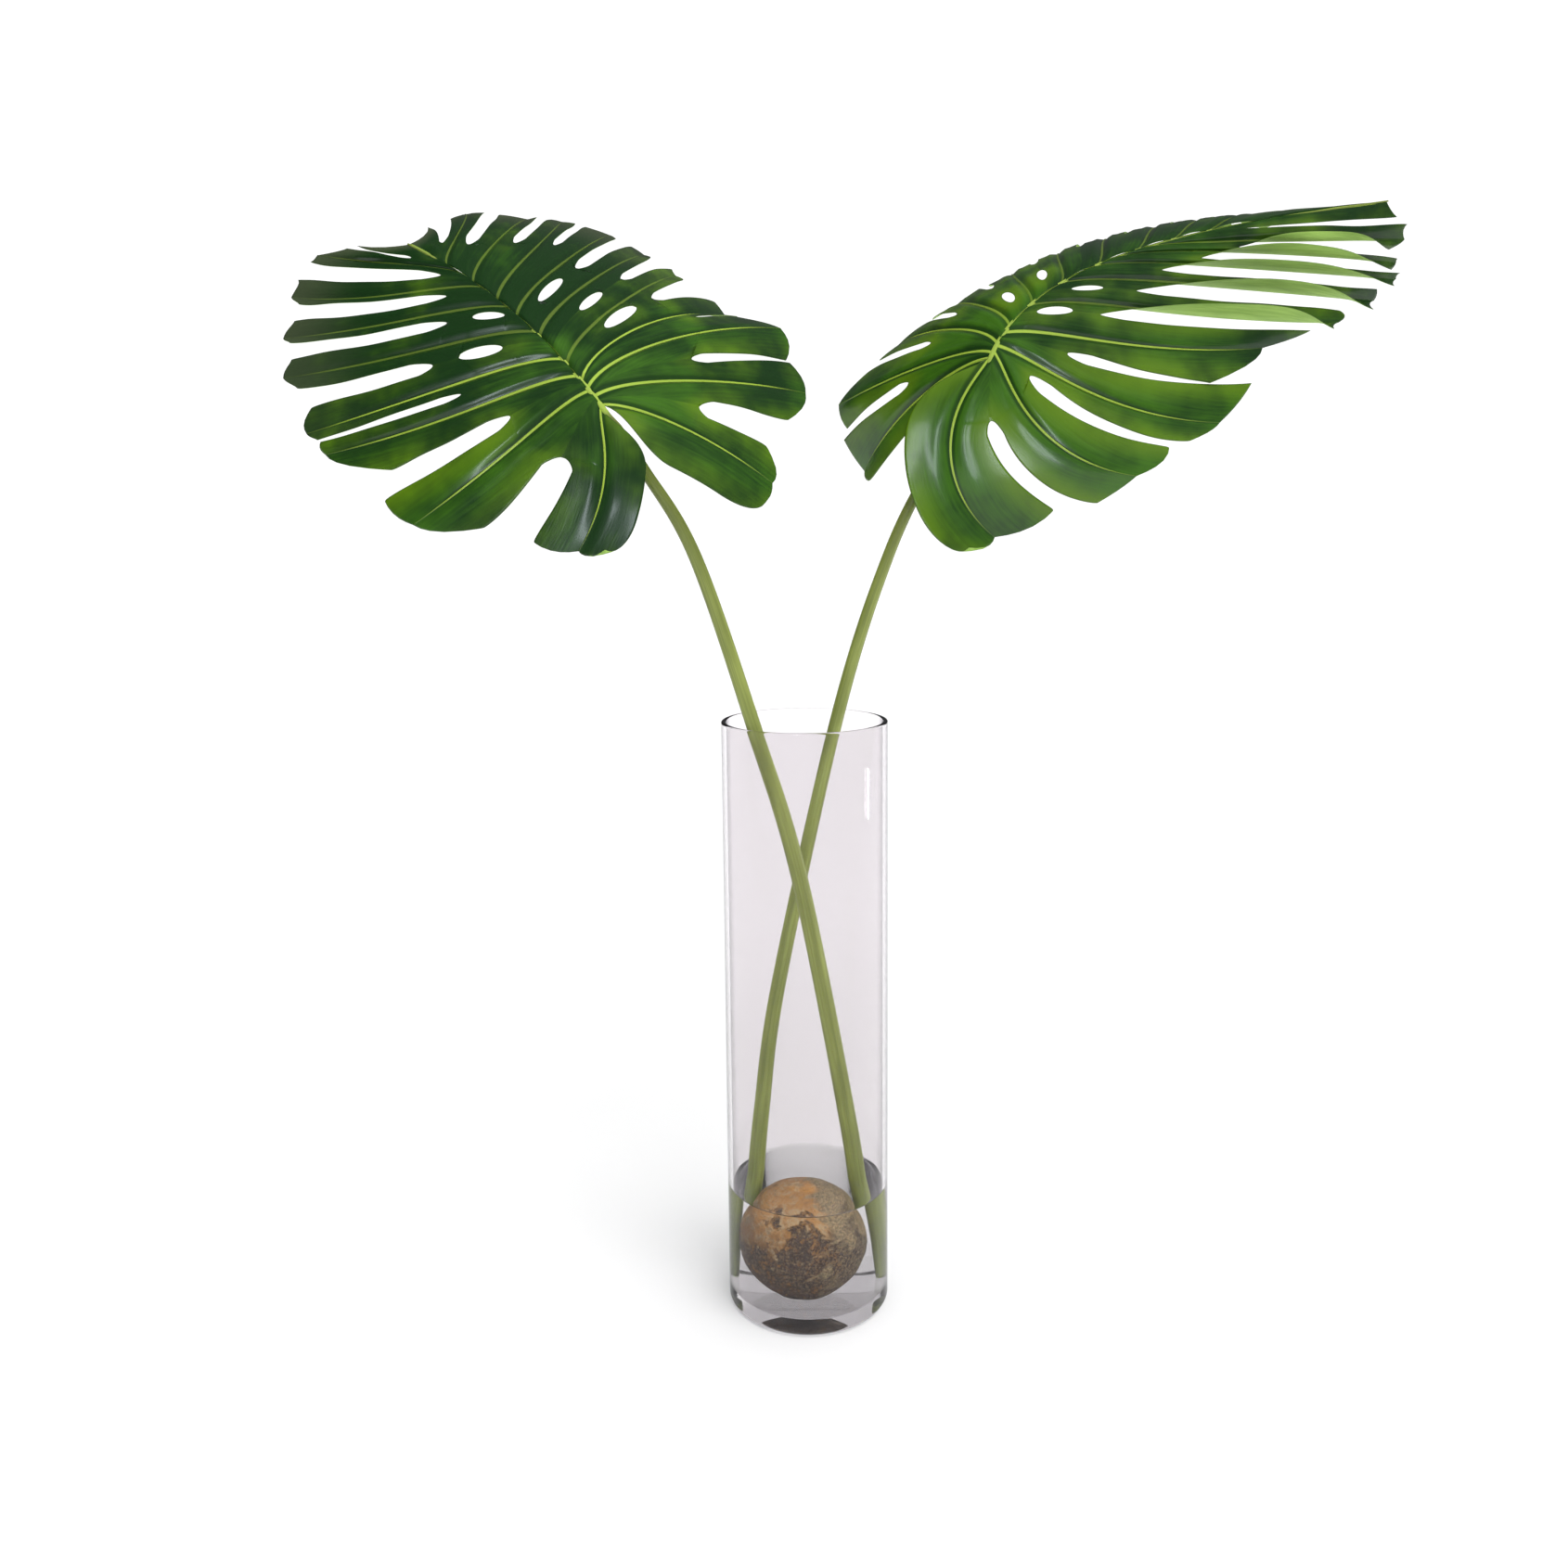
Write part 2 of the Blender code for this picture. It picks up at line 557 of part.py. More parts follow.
def make_leaf(leaf, material):
    """The whole leaf as one solid: rod and blade halves joined."""
    midrib = Midrib(leaf)
    stalk, radii = stalk_path(leaf, 3)
    rib_steps = range(3, Midrib.STEPS + 1, 4)
    rib = np.array([midrib.points[i] for i in rib_steps])
    over = midrib.points[-1] + midrib.frames[-1][:, 0] * 2 * MM
    _, top, end = leaf.stalk_radii
    share = np.linspace(0, 1, len(rib) + 1)[1:]
    rib_radii = (end + (top - 1.4 - end) * (1 - share) ** 1.3) * MM
    path = np.vstack([stalk, rib, [over]])
    radii = np.concatenate([radii, rib_radii, [end * MM * 0.9]])
    obj = add_object(leaf.name, rod_mesh(leaf.name, path, radii, ROD_SIDES, flat_foot=True), material)
    blades = bpy.data.collections.new(leaf.name + "_blades")
    bpy.context.scene.collection.children.link(blades)
    for side in (1, -1):
        mesh = HalfBlade(leaf, midrib, side).solid(f"{leaf.name}_half_{side}", BLADE_THICKNESS)
        blades.objects.link(bpy.data.objects.new(mesh.name, mesh))
    modifier = obj.modifiers.new("blades", "BOOLEAN")
    modifier.operation = "UNION"
    modifier.operand_type = "COLLECTION"
    modifier.collection = blades
    apply_modifiers(obj)
    for helper in list(blades.objects):
        bpy.data.objects.remove(helper)
    bpy.data.collections.remove(blades)
    return obj


def main():
    for obj in list(bpy.data.objects):
        bpy.data.objects.remove(obj)
    make_vase()
    make_water(make_material("clear_water", (0.85, 0.9, 0.9), 0.02, 0.3))
    add_object("stone", stone_mesh("stone", 0), make_material("river_stone", (0.36, 0.2, 0.1), 0.75))
    green = make_material("leaf_green", (0.03, 0.13, 0.02), 0.4)
    make_leaf(LEFT_LEAF, green)
    make_leaf(RIGHT_LEAF, green)


main()
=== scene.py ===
"""Two monstera leaves in a tall glass cylinder vase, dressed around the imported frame.

Metres, +Z up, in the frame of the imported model. The vase, the water and the stone are modelled with
Blender's own tools. A leaf is drawn from its veins, because no primitive gives its lobes and slits: every
lobe follows one curved side vein, and a slit that widens to the margin parts it from the next.
"""
import math
from dataclasses import dataclass

import bmesh
import bpy
import numpy as np
from bpy.props import FloatProperty, FloatVectorProperty, PointerProperty
from mathutils import Matrix, Vector


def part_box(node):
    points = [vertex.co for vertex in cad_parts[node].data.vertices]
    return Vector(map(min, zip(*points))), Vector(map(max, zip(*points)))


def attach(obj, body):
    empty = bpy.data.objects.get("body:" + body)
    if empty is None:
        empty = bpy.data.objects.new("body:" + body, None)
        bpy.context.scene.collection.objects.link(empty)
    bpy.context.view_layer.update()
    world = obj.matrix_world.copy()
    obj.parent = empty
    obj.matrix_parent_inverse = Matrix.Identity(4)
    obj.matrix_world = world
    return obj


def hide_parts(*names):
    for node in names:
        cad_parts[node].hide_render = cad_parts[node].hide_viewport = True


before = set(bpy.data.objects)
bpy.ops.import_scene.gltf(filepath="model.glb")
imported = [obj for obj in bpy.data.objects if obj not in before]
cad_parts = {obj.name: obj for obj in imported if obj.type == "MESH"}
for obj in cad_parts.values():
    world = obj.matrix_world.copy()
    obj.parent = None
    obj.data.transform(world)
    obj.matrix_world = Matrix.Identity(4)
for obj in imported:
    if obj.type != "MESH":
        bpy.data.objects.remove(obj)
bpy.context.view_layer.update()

bl_info = {
    "name": "Monstera Arrangement",
    "version": (1, 0, 0),
    "blender": (4, 5, 0),
    "location": "3D View > Sidebar > Monstera",
    "description": "Two monstera leaves in a glass cylinder vase with water and a river stone",
    "category": "Add Mesh",
}

MM = 0.001
BODY = "root"
VASE_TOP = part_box("vase")[1]
WATER_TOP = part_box("water")[1]
STONE_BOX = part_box("stone")


def tone(red, green, blue):
    """A screen colour from 0 to 255 as the linear values that Blender takes."""
    return tuple((c / 255 / 12.92) if c < 11 else ((c / 255 + 0.055) / 1.055) ** 2.4
                 for c in (red, green, blue))


def length(name, description, default):
    return FloatProperty(name=name, description=description, default=default, min=0, unit="LENGTH")


def tint(name, description, default):
    return FloatVectorProperty(name=name, description=description, default=default, min=0, max=1,
                               size=3, subtype="COLOR")


class VaseSettings(bpy.types.PropertyGroup):
    """Sizes and tint of the glass cylinder."""
    radius: length("Radius", "Outer radius of the cylinder", VASE_TOP.x)
    height: length("Height", "Height of the cylinder", VASE_TOP.z)
    wall: length("Wall", "Thickness of the glass wall", 4.5 * MM)
    floor: length("Floor", "Thickness of the glass base", 14 * MM)
    heel: length("Heel", "Rounding of the base's outer edge", 6 * MM)
    corner: length("Corner", "Rounding inside, where the wall meets the base", 4 * MM)
    rim: length("Rim", "Rounding of the rim's two edges", 1.5 * MM)
    glass: tint("Glass", "Tint of the glass", (0.74, 0.72, 0.73))
    # the edge tint is partly painted shade: it darkens the glass where it is seen at a grazing angle
    edge: tint("Glass edge", "Tint of the glass where light only grazes it", (0.1, 0.1, 0.11))


class WaterSettings(bpy.types.PropertyGroup):
    """Level and tint of the water."""
    level: length("Level", "Height of the water's surface", WATER_TOP.z)
    climb: length("Climb", "How far the water climbs the glass at its edge", 1.6 * MM)
    water: tint("Water", "Tint of the water", (0.95, 0.965, 0.95))


class StoneSettings(bpy.types.PropertyGroup):
    """Relief and colours of the river stone."""
    lumps: length("Lumps", "Height of the stone's broad lumps", 4 * MM)
    pits: length("Pits", "Depth of its small pits", 0.7 * MM)
    ochre: tint("Ochre", "Smooth warm side", tone(188, 136, 72))
    sand: tint("Sand", "Worn lighter places", tone(190, 162, 118))
    umber: tint("Umber", "Dark crust", tone(46, 32, 32))
    grey: tint("Grey", "Mottled side", tone(134, 120, 86))


class LeafSettings(bpy.types.PropertyGroup):
    """Relief and colours of the leaves."""
    thickness: length("Thickness", "Thickness of the blade", 0.6 * MM)
    quilt: length("Quilt", "How far the blade rises between two veins", 3 * MM)
    crest: length("Crest", "Height of the fold that runs beside each vein", 1.9 * MM)
    wave: length("Wave", "Height of the waves along the margin", 1.5 * MM)
    vein_radius: length("Vein", "Radius of a long side vein where it leaves the midrib", 1.7 * MM)
    deep: tint("Deep green", "Darkest green of the upper side", tone(18, 50, 15))
    fresh: tint("Fresh green", "Lighter green of the upper side", tone(56, 102, 12))
    margin: tint("Margin", "Yellower green towards the margin", tone(94, 128, 4))
    vein: tint("Vein colour", "Midrib and veins", tone(156, 184, 62))
    under: tint("Underside", "Pale underside", tone(152, 188, 90))
    # the dull tip colour is a painted sheen: the grey of reflected sky, painted on the far curled tips
    painted_tip_sheen: tint("Dull tip", "Greyish olive of the curled tips", tone(72, 82, 56))
    stalk: tint("Petiole", "Lit green of the petiole", tone(152, 164, 80))
    # the petiole shade colour gives darker streaks and patches, and also the painted shade in the groove and the
    # painted shadow under the blade
    stalk_shade: tint("Petiole shade", "Darker green along the petiole's groove", tone(74, 84, 26))


class StageSettings(bpy.types.PropertyGroup):
    """Floor, light and camera."""
    paper: tint("Floor", "Colour of the floor", (0.84, 0.84, 0.84))
    sky_left: FloatProperty(name="Sky, left", description="Brightness on the left", default=0.2, min=0)
    sky_right: FloatProperty(name="Sky, right", description="Brightness on the right", default=0.75, min=0)
    key: FloatProperty(name="Key light", description="Strength of the main light", default=1.4, min=0)
    ceiling: FloatProperty(name="Ceiling light", description="Strength of the even light from above",
                           default=2.0, min=0)
    window: FloatProperty(name="Window", description="Power of the light that makes the sheen",
                          default=26.0, min=0, unit="POWER")


@dataclass
class Lobe:
    """One side vein and the strip of blade along it. Lengths in mm, angles in degrees.

    share, slit, mouth, throat, out, back, hole and hole_width describe the border to the next lobe,
    the one nearer to the leaf's tip. slit and hole are shares of the vein's length.
    """
    root: float             # place on the midrib
    heading: float          # angle away from the midrib's direction
    bend: float             # change of heading along the vein
    length: float
    droop: float            # change of pitch along the vein
    slit: float = 0.5
    mouth: float = 10       # width of the slit at the margin
    throat: float = 6       # width of the slit just past its round inner end
    round_end: float = 8    # extra width where the lobe's corners are rounded
    share: float = 0.5      # place of the border between the two veins
    out: float = 0          # how far this lobe's corner at the slit runs past its vein
    back: float = 0         # the same for this lobe's corner on the side of the petiole
    hole: tuple = ()
    hole_width: float = 10
    curl: float = 0         # how far its half on the side of the petiole turns up


@dataclass
class Leaf:
    """A whole leaf. Its blade starts at the junction, where the petiole meets the midrib."""
    name: str
    junction: Vector
    facing: float           # turn about +Z
    slope: float            # tilt of the blade, up and away from the viewer
    turn: float             # turn of the midrib within the blade
    midrib: float           # length in mm
    droop: float            # the midrib bows down by this much
    sweep: float            # and sideways by this much
    settle: float           # share of the midrib in which it does most of that, 0 for evenly
    fold: tuple             # how far the left and the right half hang down from the midrib
    basal: tuple            # widest reach of the first lobes beyond their veins, in mm
    tip: float              # where the end lobe's own part of the midrib starts, in mm
    horn: float             # how far the corners of the far lobes run out into horns, in mm
    shade: float            # how light its green is near the junction
    painted_tip_sheen: tuple             # how much painted grey sheen the far lobes' tips get on the left and on the right half
    bright: tuple           # side veins are bright up to here on the midrib, in mm, on each half
    left: list
    right: list
    stalk: list             # points of the petiole, in mm, from its cut end to the junction
    stalk_radii: tuple      # radius in mm at the cut end, at the junction and at the midrib's end


LEFT_LEAF = Leaf(
    name="leaf_left", junction=Vector((-164, -60, 820)) * MM,
    facing=8, slope=58, turn=30, midrib=264, droop=12, sweep=20, settle=0, fold=(8, 8),
    basal=(34, 44), tip=230, horn=8, shade=-0.06, painted_tip_sheen=(1, 0.8), bright=(70, 40),
    left=[
        Lobe(7, 172, -62, 130, -22, slit=0.44, mouth=44, throat=24, share=0.44, back=-13),
        Lobe(24, 106, -26, 186, -22, slit=0.33, mouth=30, throat=12, share=0.47, back=-8),
        Lobe(42, 84, -33, 233, -22, slit=0.40, mouth=3, throat=8, round_end=0, share=0.55, out=-6, back=-36),
        Lobe(64, 75, -22, 238, -22, slit=0.42, mouth=22, throat=14, share=0.54, out=-17, back=-6,
             hole=(0.16, 0.32), hole_width=13),
        Lobe(102, 68, -31, 242, -22, slit=0.27, mouth=16, throat=11, share=0.60, out=-16, back=-16,
             hole=(0.05, 0.17), hole_width=10),
        Lobe(140, 62, -34, 223, -22, slit=0.19, mouth=20, throat=10, share=0.58, out=-18, back=-15),
        Lobe(174, 57, -45, 202, -22, slit=0.14, mouth=20, throat=10, share=0.57, out=-7, back=-24),
        Lobe(202, 32, -26, 168, -22, slit=0.36, mouth=10, throat=6, share=0.45, out=4, back=-3),
    ],
    right=[
        Lobe(7, 136, 8, 163, -25, slit=0.50, mouth=46, throat=18, share=0.44, out=-16),
        Lobe(17, 108, -2, 218, -25, slit=0.48, mouth=5, throat=12, round_end=0, share=0.44, out=-8, back=-8),
        Lobe(27, 82, 18, 236, -20, slit=0.70, mouth=4, throat=4, round_end=0, share=0.70, out=-3, back=-10),
        Lobe(36, 72, 14, 236, -35, slit=0.60, mouth=30, throat=10, share=0.60, out=10, back=-7,
             hole=(0.27, 0.48), hole_width=13),
        Lobe(58, 73, -11, 245, -35, slit=0.56, mouth=16, throat=10, share=0.50, out=10,
             hole=(0.24, 0.40), hole_width=10),
        Lobe(96, 76, -16, 240, -35, slit=0.42, mouth=16, throat=12, share=0.55, out=-10, back=-8,
             hole=(0.13, 0.31), hole_width=11),
        Lobe(127, 77, -22, 240, -35, slit=0.50, mouth=10, throat=8, share=0.60, out=-15, back=-20),
        Lobe(153, 76, -32, 225, -35, slit=0.40, mouth=12, throat=10, share=0.51, out=-15, back=-13),
        Lobe(184, 70, -18, 188, -35, slit=0.25, mouth=16, throat=12, share=0.55, out=-22, back=-14),
        Lobe(218, 69, -36, 154, -35, slit=0.30, mouth=40, throat=10, share=0.45, out=-17),
    ],
    stalk=[(56.5, 12, 14.3), (50, 7.5, 81), (36.6, -4, 179), (-5.6, -29, 411), (-43.9, -46, 550),
           (-92, -54, 699), (-133, -60, 772), (-164, -60, 820)],
    stalk_radii=(9.8, 4.0, 1.0),
)

RIGHT_LEAF = Leaf(
    name="leaf_right", junction=Vector((172, 60, 870)) * MM,
    facing=-18, slope=66, turn=-14, midrib=448, droop=21, sweep=-56, settle=0.25, fold=(25, 10),
    basal=(28, 42), tip=315, horn=2, shade=0.08, painted_tip_sheen=(1, 0.05), bright=(30, 45),
    right=[
        Lobe(6, 219, -120, 190, -31, slit=0.40, mouth=14, throat=14, share=0.50, back=-16),
        Lobe(11, 155, -84, 185, -8, slit=0.22, mouth=10, throat=14, share=0.55, out=-7, back=19),
        Lobe(17, 112, -58, 223, -22, slit=0.27, mouth=3, throat=12, round_end=0, share=0.52, out=10),
        Lobe(32, 77, -37, 249, -22, slit=0.25, mouth=4, throat=9, round_end=2, share=0.66, out=-1, back=-38,
             hole=(0.05, 0.16), hole_width=12),
        Lobe(69, 58, -29, 310, -22, slit=0.26, mouth=4, throat=9, round_end=3, share=0.54, out=-22, back=22,
             hole=(0.07, 0.16), hole_width=9, curl=95),
        Lobe(108, 40, -17, 325, -22, slit=0.24, mouth=6, throat=10, round_end=2, share=0.54, out=-11, back=16,
             curl=85),
        Lobe(145, 30, -12, 315, -18, slit=0.30, mouth=2, throat=4, round_end=1, share=0.42, out=3, back=5, curl=90),
        Lobe(172, 21, -3, 286, -14, slit=0.38, mouth=6, throat=4, share=0.32, out=-1, back=-7, curl=120),
        Lobe(202, 17, -6, 265, -10, slit=0.22, mouth=6, throat=4, share=0.45, out=7, back=-16, curl=130),
    ],
    left=[
        Lobe(3, 120, 0, 205, -38, slit=0.50, mouth=3, throat=10, round_end=0, share=0.60, out=14, back=-6),
        Lobe(9, 105, 4, 200, -12, slit=0.48, mouth=12, throat=10, share=0.60),
        Lobe(19, 82, 6, 191, -28, slit=0.50, mouth=12, throat=8),
        Lobe(40, 79, -10, 181, -36, slit=0.50, mouth=12, throat=8, hole=(0.14, 0.30)),
        Lobe(71, 76, -25, 173, -40, slit=0.50, mouth=12, throat=8, hole=(0.14, 0.30)),
        Lobe(107, 72, -26, 164, -40, slit=0.45, mouth=12, throat=8),
        Lobe(147, 68, -27, 157, -42, slit=0.42, mouth=12, throat=8),
        Lobe(189, 62, -27, 150, -42, slit=0.42, mouth=12, throat=8),
        Lobe(226, 55, -27, 141, -42, slit=0.40, mouth=12, throat=8),
        Lobe(262, 45, -24, 128, -40, slit=0.40, mouth=12, throat=8),
    ],
    stalk=[(-57, 15, 14.3), (-52, 19, 81), (-43.5, 26, 170), (-25.5, 35, 294), (33.4, 54.5, 550),
           (81, 58, 697), (124, 60, 784), (172, 60, 870)],
    stalk_radii=(9.3, 3.8, 1.0),
)


class Value:
    """A number in a material. Python's operators on it add Math nodes."""

    def __init__(self, recipe, socket):
        self.recipe, self.socket = recipe, socket

    def __add__(self, other):
        return self.recipe.math("ADD", self, other)

    def __sub__(self, other):
        return self.recipe.math("SUBTRACT", self, other)

    def __rsub__(self, other):
        return self.recipe.math("SUBTRACT", other, self)

    def __mul__(self, other):
        return self.recipe.math("MULTIPLY", self, other)

    def __pow__(self, other):
        return self.recipe.math("POWER", self, other)

    __radd__ = __add__
    __rmul__ = __mul__


class Recipe:
    """A material, or the world around the arrangement, made of nodes."""

    def __init__(self, name, world=False):
        self.block = bpy.data.worlds.new(name) if world else bpy.data.materials.new(name)
        self.block.use_nodes = True
        self.tree = self.block.node_tree
        self.tree.nodes.clear()
        self.output = self.node("ShaderNodeOutputWorld" if world else "ShaderNodeOutputMaterial")

    def node(self, kind, settings=None, inputs=None):
        """Adds a node, sets its settings and then its sockets, given by name or number."""
        made = self.tree.nodes.new(kind)
        for name, value in (settings or {}).items():
            if name == "stops":
                self.set_stops(made.color_ramp, value)
            else:
                setattr(made, name, value)
        for key, value in (inputs or {}).items():
            socket = made.inputs[key]
            if isinstance(value, Value):
                value = value.socket
            if isinstance(value, bpy.types.NodeSocket):
                self.tree.links.new(value, socket)
            elif socket.type == "RGBA" and len(value) == 3:
                socket.default_value = (*value, 1.0)
            else:
                socket.default_value = value
        return made

    @staticmethod
    def set_stops(ramp, stops):
        while len(ramp.elements) < len(stops):
            ramp.elements.new(0.5)
        for element, (place, colour) in zip(ramp.elements, stops):
            element.position = place
            element.color = (*colour, 1.0)

    def math(self, operation, *values):
        inputs = dict(enumerate(values))
        return Value(self, self.node("ShaderNodeMath", {"operation": operation}, inputs).outputs[0])

    def attribute(self, name, output="Fac"):
        return Value(self, self.node("ShaderNodeAttribute", {"attribute_name": name}).outputs[output])

    def place(self):
        """Object coordinates."""
        return self.node("ShaderNodeTexCoord").outputs["Object"]

    def axis(self, vector, name):
        return Value(self, self.node("ShaderNodeSeparateXYZ", inputs={"Vector": vector}).outputs[name])

    def scaled(self, vector, factors):
        made = self.node("ShaderNodeVectorMath", {"operation": "MULTIPLY"}, {0: vector, 1: factors})
        return made.outputs[0]

    def noise(self, vector, scale, detail=3.0, roughness=0.5, distortion=0.0):
        inputs = {"Vector": vector, "Scale": scale, "Detail": detail, "Roughness": roughness,
                  "Distortion": distortion}
        return Value(self, self.node("ShaderNodeTexNoise", inputs=inputs).outputs[0])

    def step(self, value, low, high, start=0.0, end=1.0):
        """Runs smoothly from start to end while the value goes from low to high."""
        inputs = {"Value": value, "From Min": low, "From Max": high, "To Min": start, "To Max": end}
        made = self.node("ShaderNodeMapRange", {"interpolation_type": "SMOOTHSTEP"}, inputs)
        return Value(self, made.outputs[0])

    def mix(self, factor, first, second):
        """A colour between two others."""
        made = self.node("ShaderNodeMix", {"data_type": "RGBA"}, {0: factor, 6: first, 7: second})
        return made.outputs[2]

    def bump(self, height, distance, strength=1.0, under=None):
        inputs = {"Height": height, "Distance": distance, "Strength": strength}
        if under is not None:
            inputs["Normal"] = under
        return self.node("ShaderNodeBump", inputs=inputs).outputs[0]

    def principled(self, inputs):
        return self.node("ShaderNodeBsdfPrincipled", inputs=inputs).outputs[0]

    def surface(self, shader):
        self.tree.links.new(shader, self.output.inputs["Surface"])
        return self.block

    def ray(self, kind):
        """1 for rays of a kind, and 0 for the others."""
        return Value(self, self.node("ShaderNodeLightPath").outputs[kind])

    def blend(self, factor, first, second):
        """A shader between two others."""
        return self.node("ShaderNodeMixShader", inputs={0: factor, 1: first, 2: second}).outputs[0]

    def clear(self, inputs, shadow):
        """A clear shader that lets light through to what stands behind and under it."""
        open_way = self.node("ShaderNodeBsdfTransparent", inputs={"Color": shadow}).outputs[0]
        return self.surface(self.blend(self.ray("Is Shadow Ray"), self.principled(inputs), open_way))


def glass_material(settings):
    """Clear glass. Where it is seen at a grazing angle its tint turns grey: partly the long way light runs inside
    it, partly painted shade that stands in for the dark surroundings such an edge would show.
    """
    recipe = Recipe("clear_glass")
    facing = Value(recipe, recipe.node("ShaderNodeLayerWeight", inputs={"Blend": 0.5}).outputs["Facing"])
    # painted shade: the tint turns grey where the glass is seen at a grazing angle
    colour = recipe.mix(recipe.step(facing, 0.6, 0.92), settings.glass, settings.edge)
    return recipe.clear({"Base Color": colour, "Roughness": 0.0, "IOR": 1.2,
                         "Transmission Weight": 1.0}, shadow=(0.85, 0.85, 0.87))


def water_material(settings):
    recipe = Recipe("clear_water")
    return recipe.clear({"Base Color": settings.water, "Roughness": 0.0, "IOR": 1.25,
                         "Transmission Weight": 1.0}, shadow=(0.94, 0.94, 0.94))


def stone_material(settings):
    """Smooth ochre on the upper left, a dark crust low in front and a speckled grey right side."""
    recipe = Recipe("river_stone")
    place = recipe.place()
    x = recipe.axis(place, "X")
    y = recipe.axis(place, "Y")
    z = recipe.axis(place, "Z")
    broad = recipe.noise(place, 32, 5, 0.62, 0.6)
    blotches = recipe.noise(place, 120, 7, 0.75, 0.3)
    fine = recipe.noise(place, 340, 5, 0.75)
    grain = recipe.noise(place, 700, 3, 0.6)
    warm = recipe.mix(recipe.step(blotches, 0.46, 0.62), settings.ochre, settings.sand)
    warm = recipe.mix(recipe.step(broad, 0.5, 0.66) * 0.5, warm, settings.umber)
    speckled = recipe.mix(recipe.step(fine, 0.46, 0.54), settings.grey, settings.sand)
    speckled = recipe.mix(recipe.step(grain, 0.54, 0.6) * 0.65, speckled, settings.umber)
    side = recipe.step(x + (broad - 0.5) * 0.08 + y * 0.2, 0.0, 0.012)
    colour = recipe.mix(side, warm, speckled)
    low = recipe.step(z + (broad - 0.5) * 0.2 + (blotches - 0.5) * 0.14 + x * 0.1, 0.086, 0.07)
    colour = recipe.mix(low * 0.3, colour, settings.umber)
    crust = low * recipe.step(blotches - side * 0.05, 0.4, 0.46)
    colour = recipe.mix(crust * 0.9, colour, settings.umber)
    flecks = recipe.step(fine, 0.56, 0.62) * (1.0 - crust * 0.7)
    colour = recipe.mix(flecks * (0.3 + side * 0.5), colour, settings.umber)
    worn = recipe.step(fine, 0.48, 0.4) * (0.35 + side * 0.4) + recipe.step(grain, 0.56, 0.62) * 0.35
    colour = recipe.mix(worn * crust, colour, settings.sand)
    height = blotches * 0.5 + fine * 0.35 + grain * 0.15 - crust * 0.2
    return recipe.surface(recipe.principled({
        "Base Color": colour, "Roughness": 0.4 + fine * 0.25,
        "Normal": recipe.bump(height, 4.0 * MM, 1.0)}))


def blade_material(settings):
    """Deep green with pale veins and a yellower margin, and a pale underside; painted shade beside the veins and a
    painted grey sheen on the far curled tips.
    """
    recipe = Recipe("leaf_green")
    place = recipe.place()
    strip = recipe.attribute("strip", "Vector")
    vein = recipe.attribute("vein")
    margin = recipe.attribute("margin")
    under = recipe.attribute("under")
    age = recipe.attribute("age")
    shade = recipe.attribute("shade")
    glow = recipe.attribute("glow")
    clouds = recipe.noise(place, 14, 3, 0.55)
    streaks = recipe.noise(recipe.scaled(strip, (26, 420, 1)), 1.0, 3, 0.6)
    threads = recipe.noise(recipe.scaled(strip, (90, 900, 1)), 1.0, 2, 0.5)
    fresh = recipe.step(clouds + streaks * 0.35 + shade, 0.45, 0.95)
    colour = recipe.mix(fresh, settings.deep, settings.fresh)
    edge = recipe.step(margin, 0.03, 0.0) * recipe.step(clouds + shade, 0.25, 0.7)
    colour = recipe.mix(edge * 0.7, colour, settings.margin)
    # painted shade: a dark band in the groove beside each vein, where the blade folds down to it
    painted_crease_shade = recipe.step(vein, 1.0, 1.6) * recipe.step(vein, 6.0, 3.0)
    colour = recipe.mix(painted_crease_shade * glow * 0.75, colour, settings.deep)
    # painted sheen: greyish olive on the far lobes' curled tips, for the sky they reflect at a grazing view
    colour = recipe.mix(age, colour, settings.painted_tip_sheen)
    line = recipe.step(vein, 1.4, 0.8)
    colour = recipe.mix(line * glow, colour, settings.vein)
    rim = recipe.step(margin, 0.0009, 0.0003)
    colour = recipe.mix(rim * 0.6, colour, settings.deep)
    below = recipe.mix(recipe.step(streaks, 0.3, 0.7) * 0.35, settings.under, settings.fresh)
    below = recipe.mix(line * 0.8, below, settings.vein)
    colour = recipe.mix(under, colour, below)
    height = streaks * 0.5 + threads * 0.3 + clouds * 0.6
    return recipe.surface(recipe.principled({
        "Base Color": colour, "Roughness": 0.27 + streaks * 0.1 + under * 0.3 + age * 0.25,
        "Specular IOR Level": 0.3, "Coat Weight": 0.3 - under * 0.3, "Coat Roughness": 0.14,
        "Normal": recipe.bump(height, 0.5 * MM, 0.5)}))


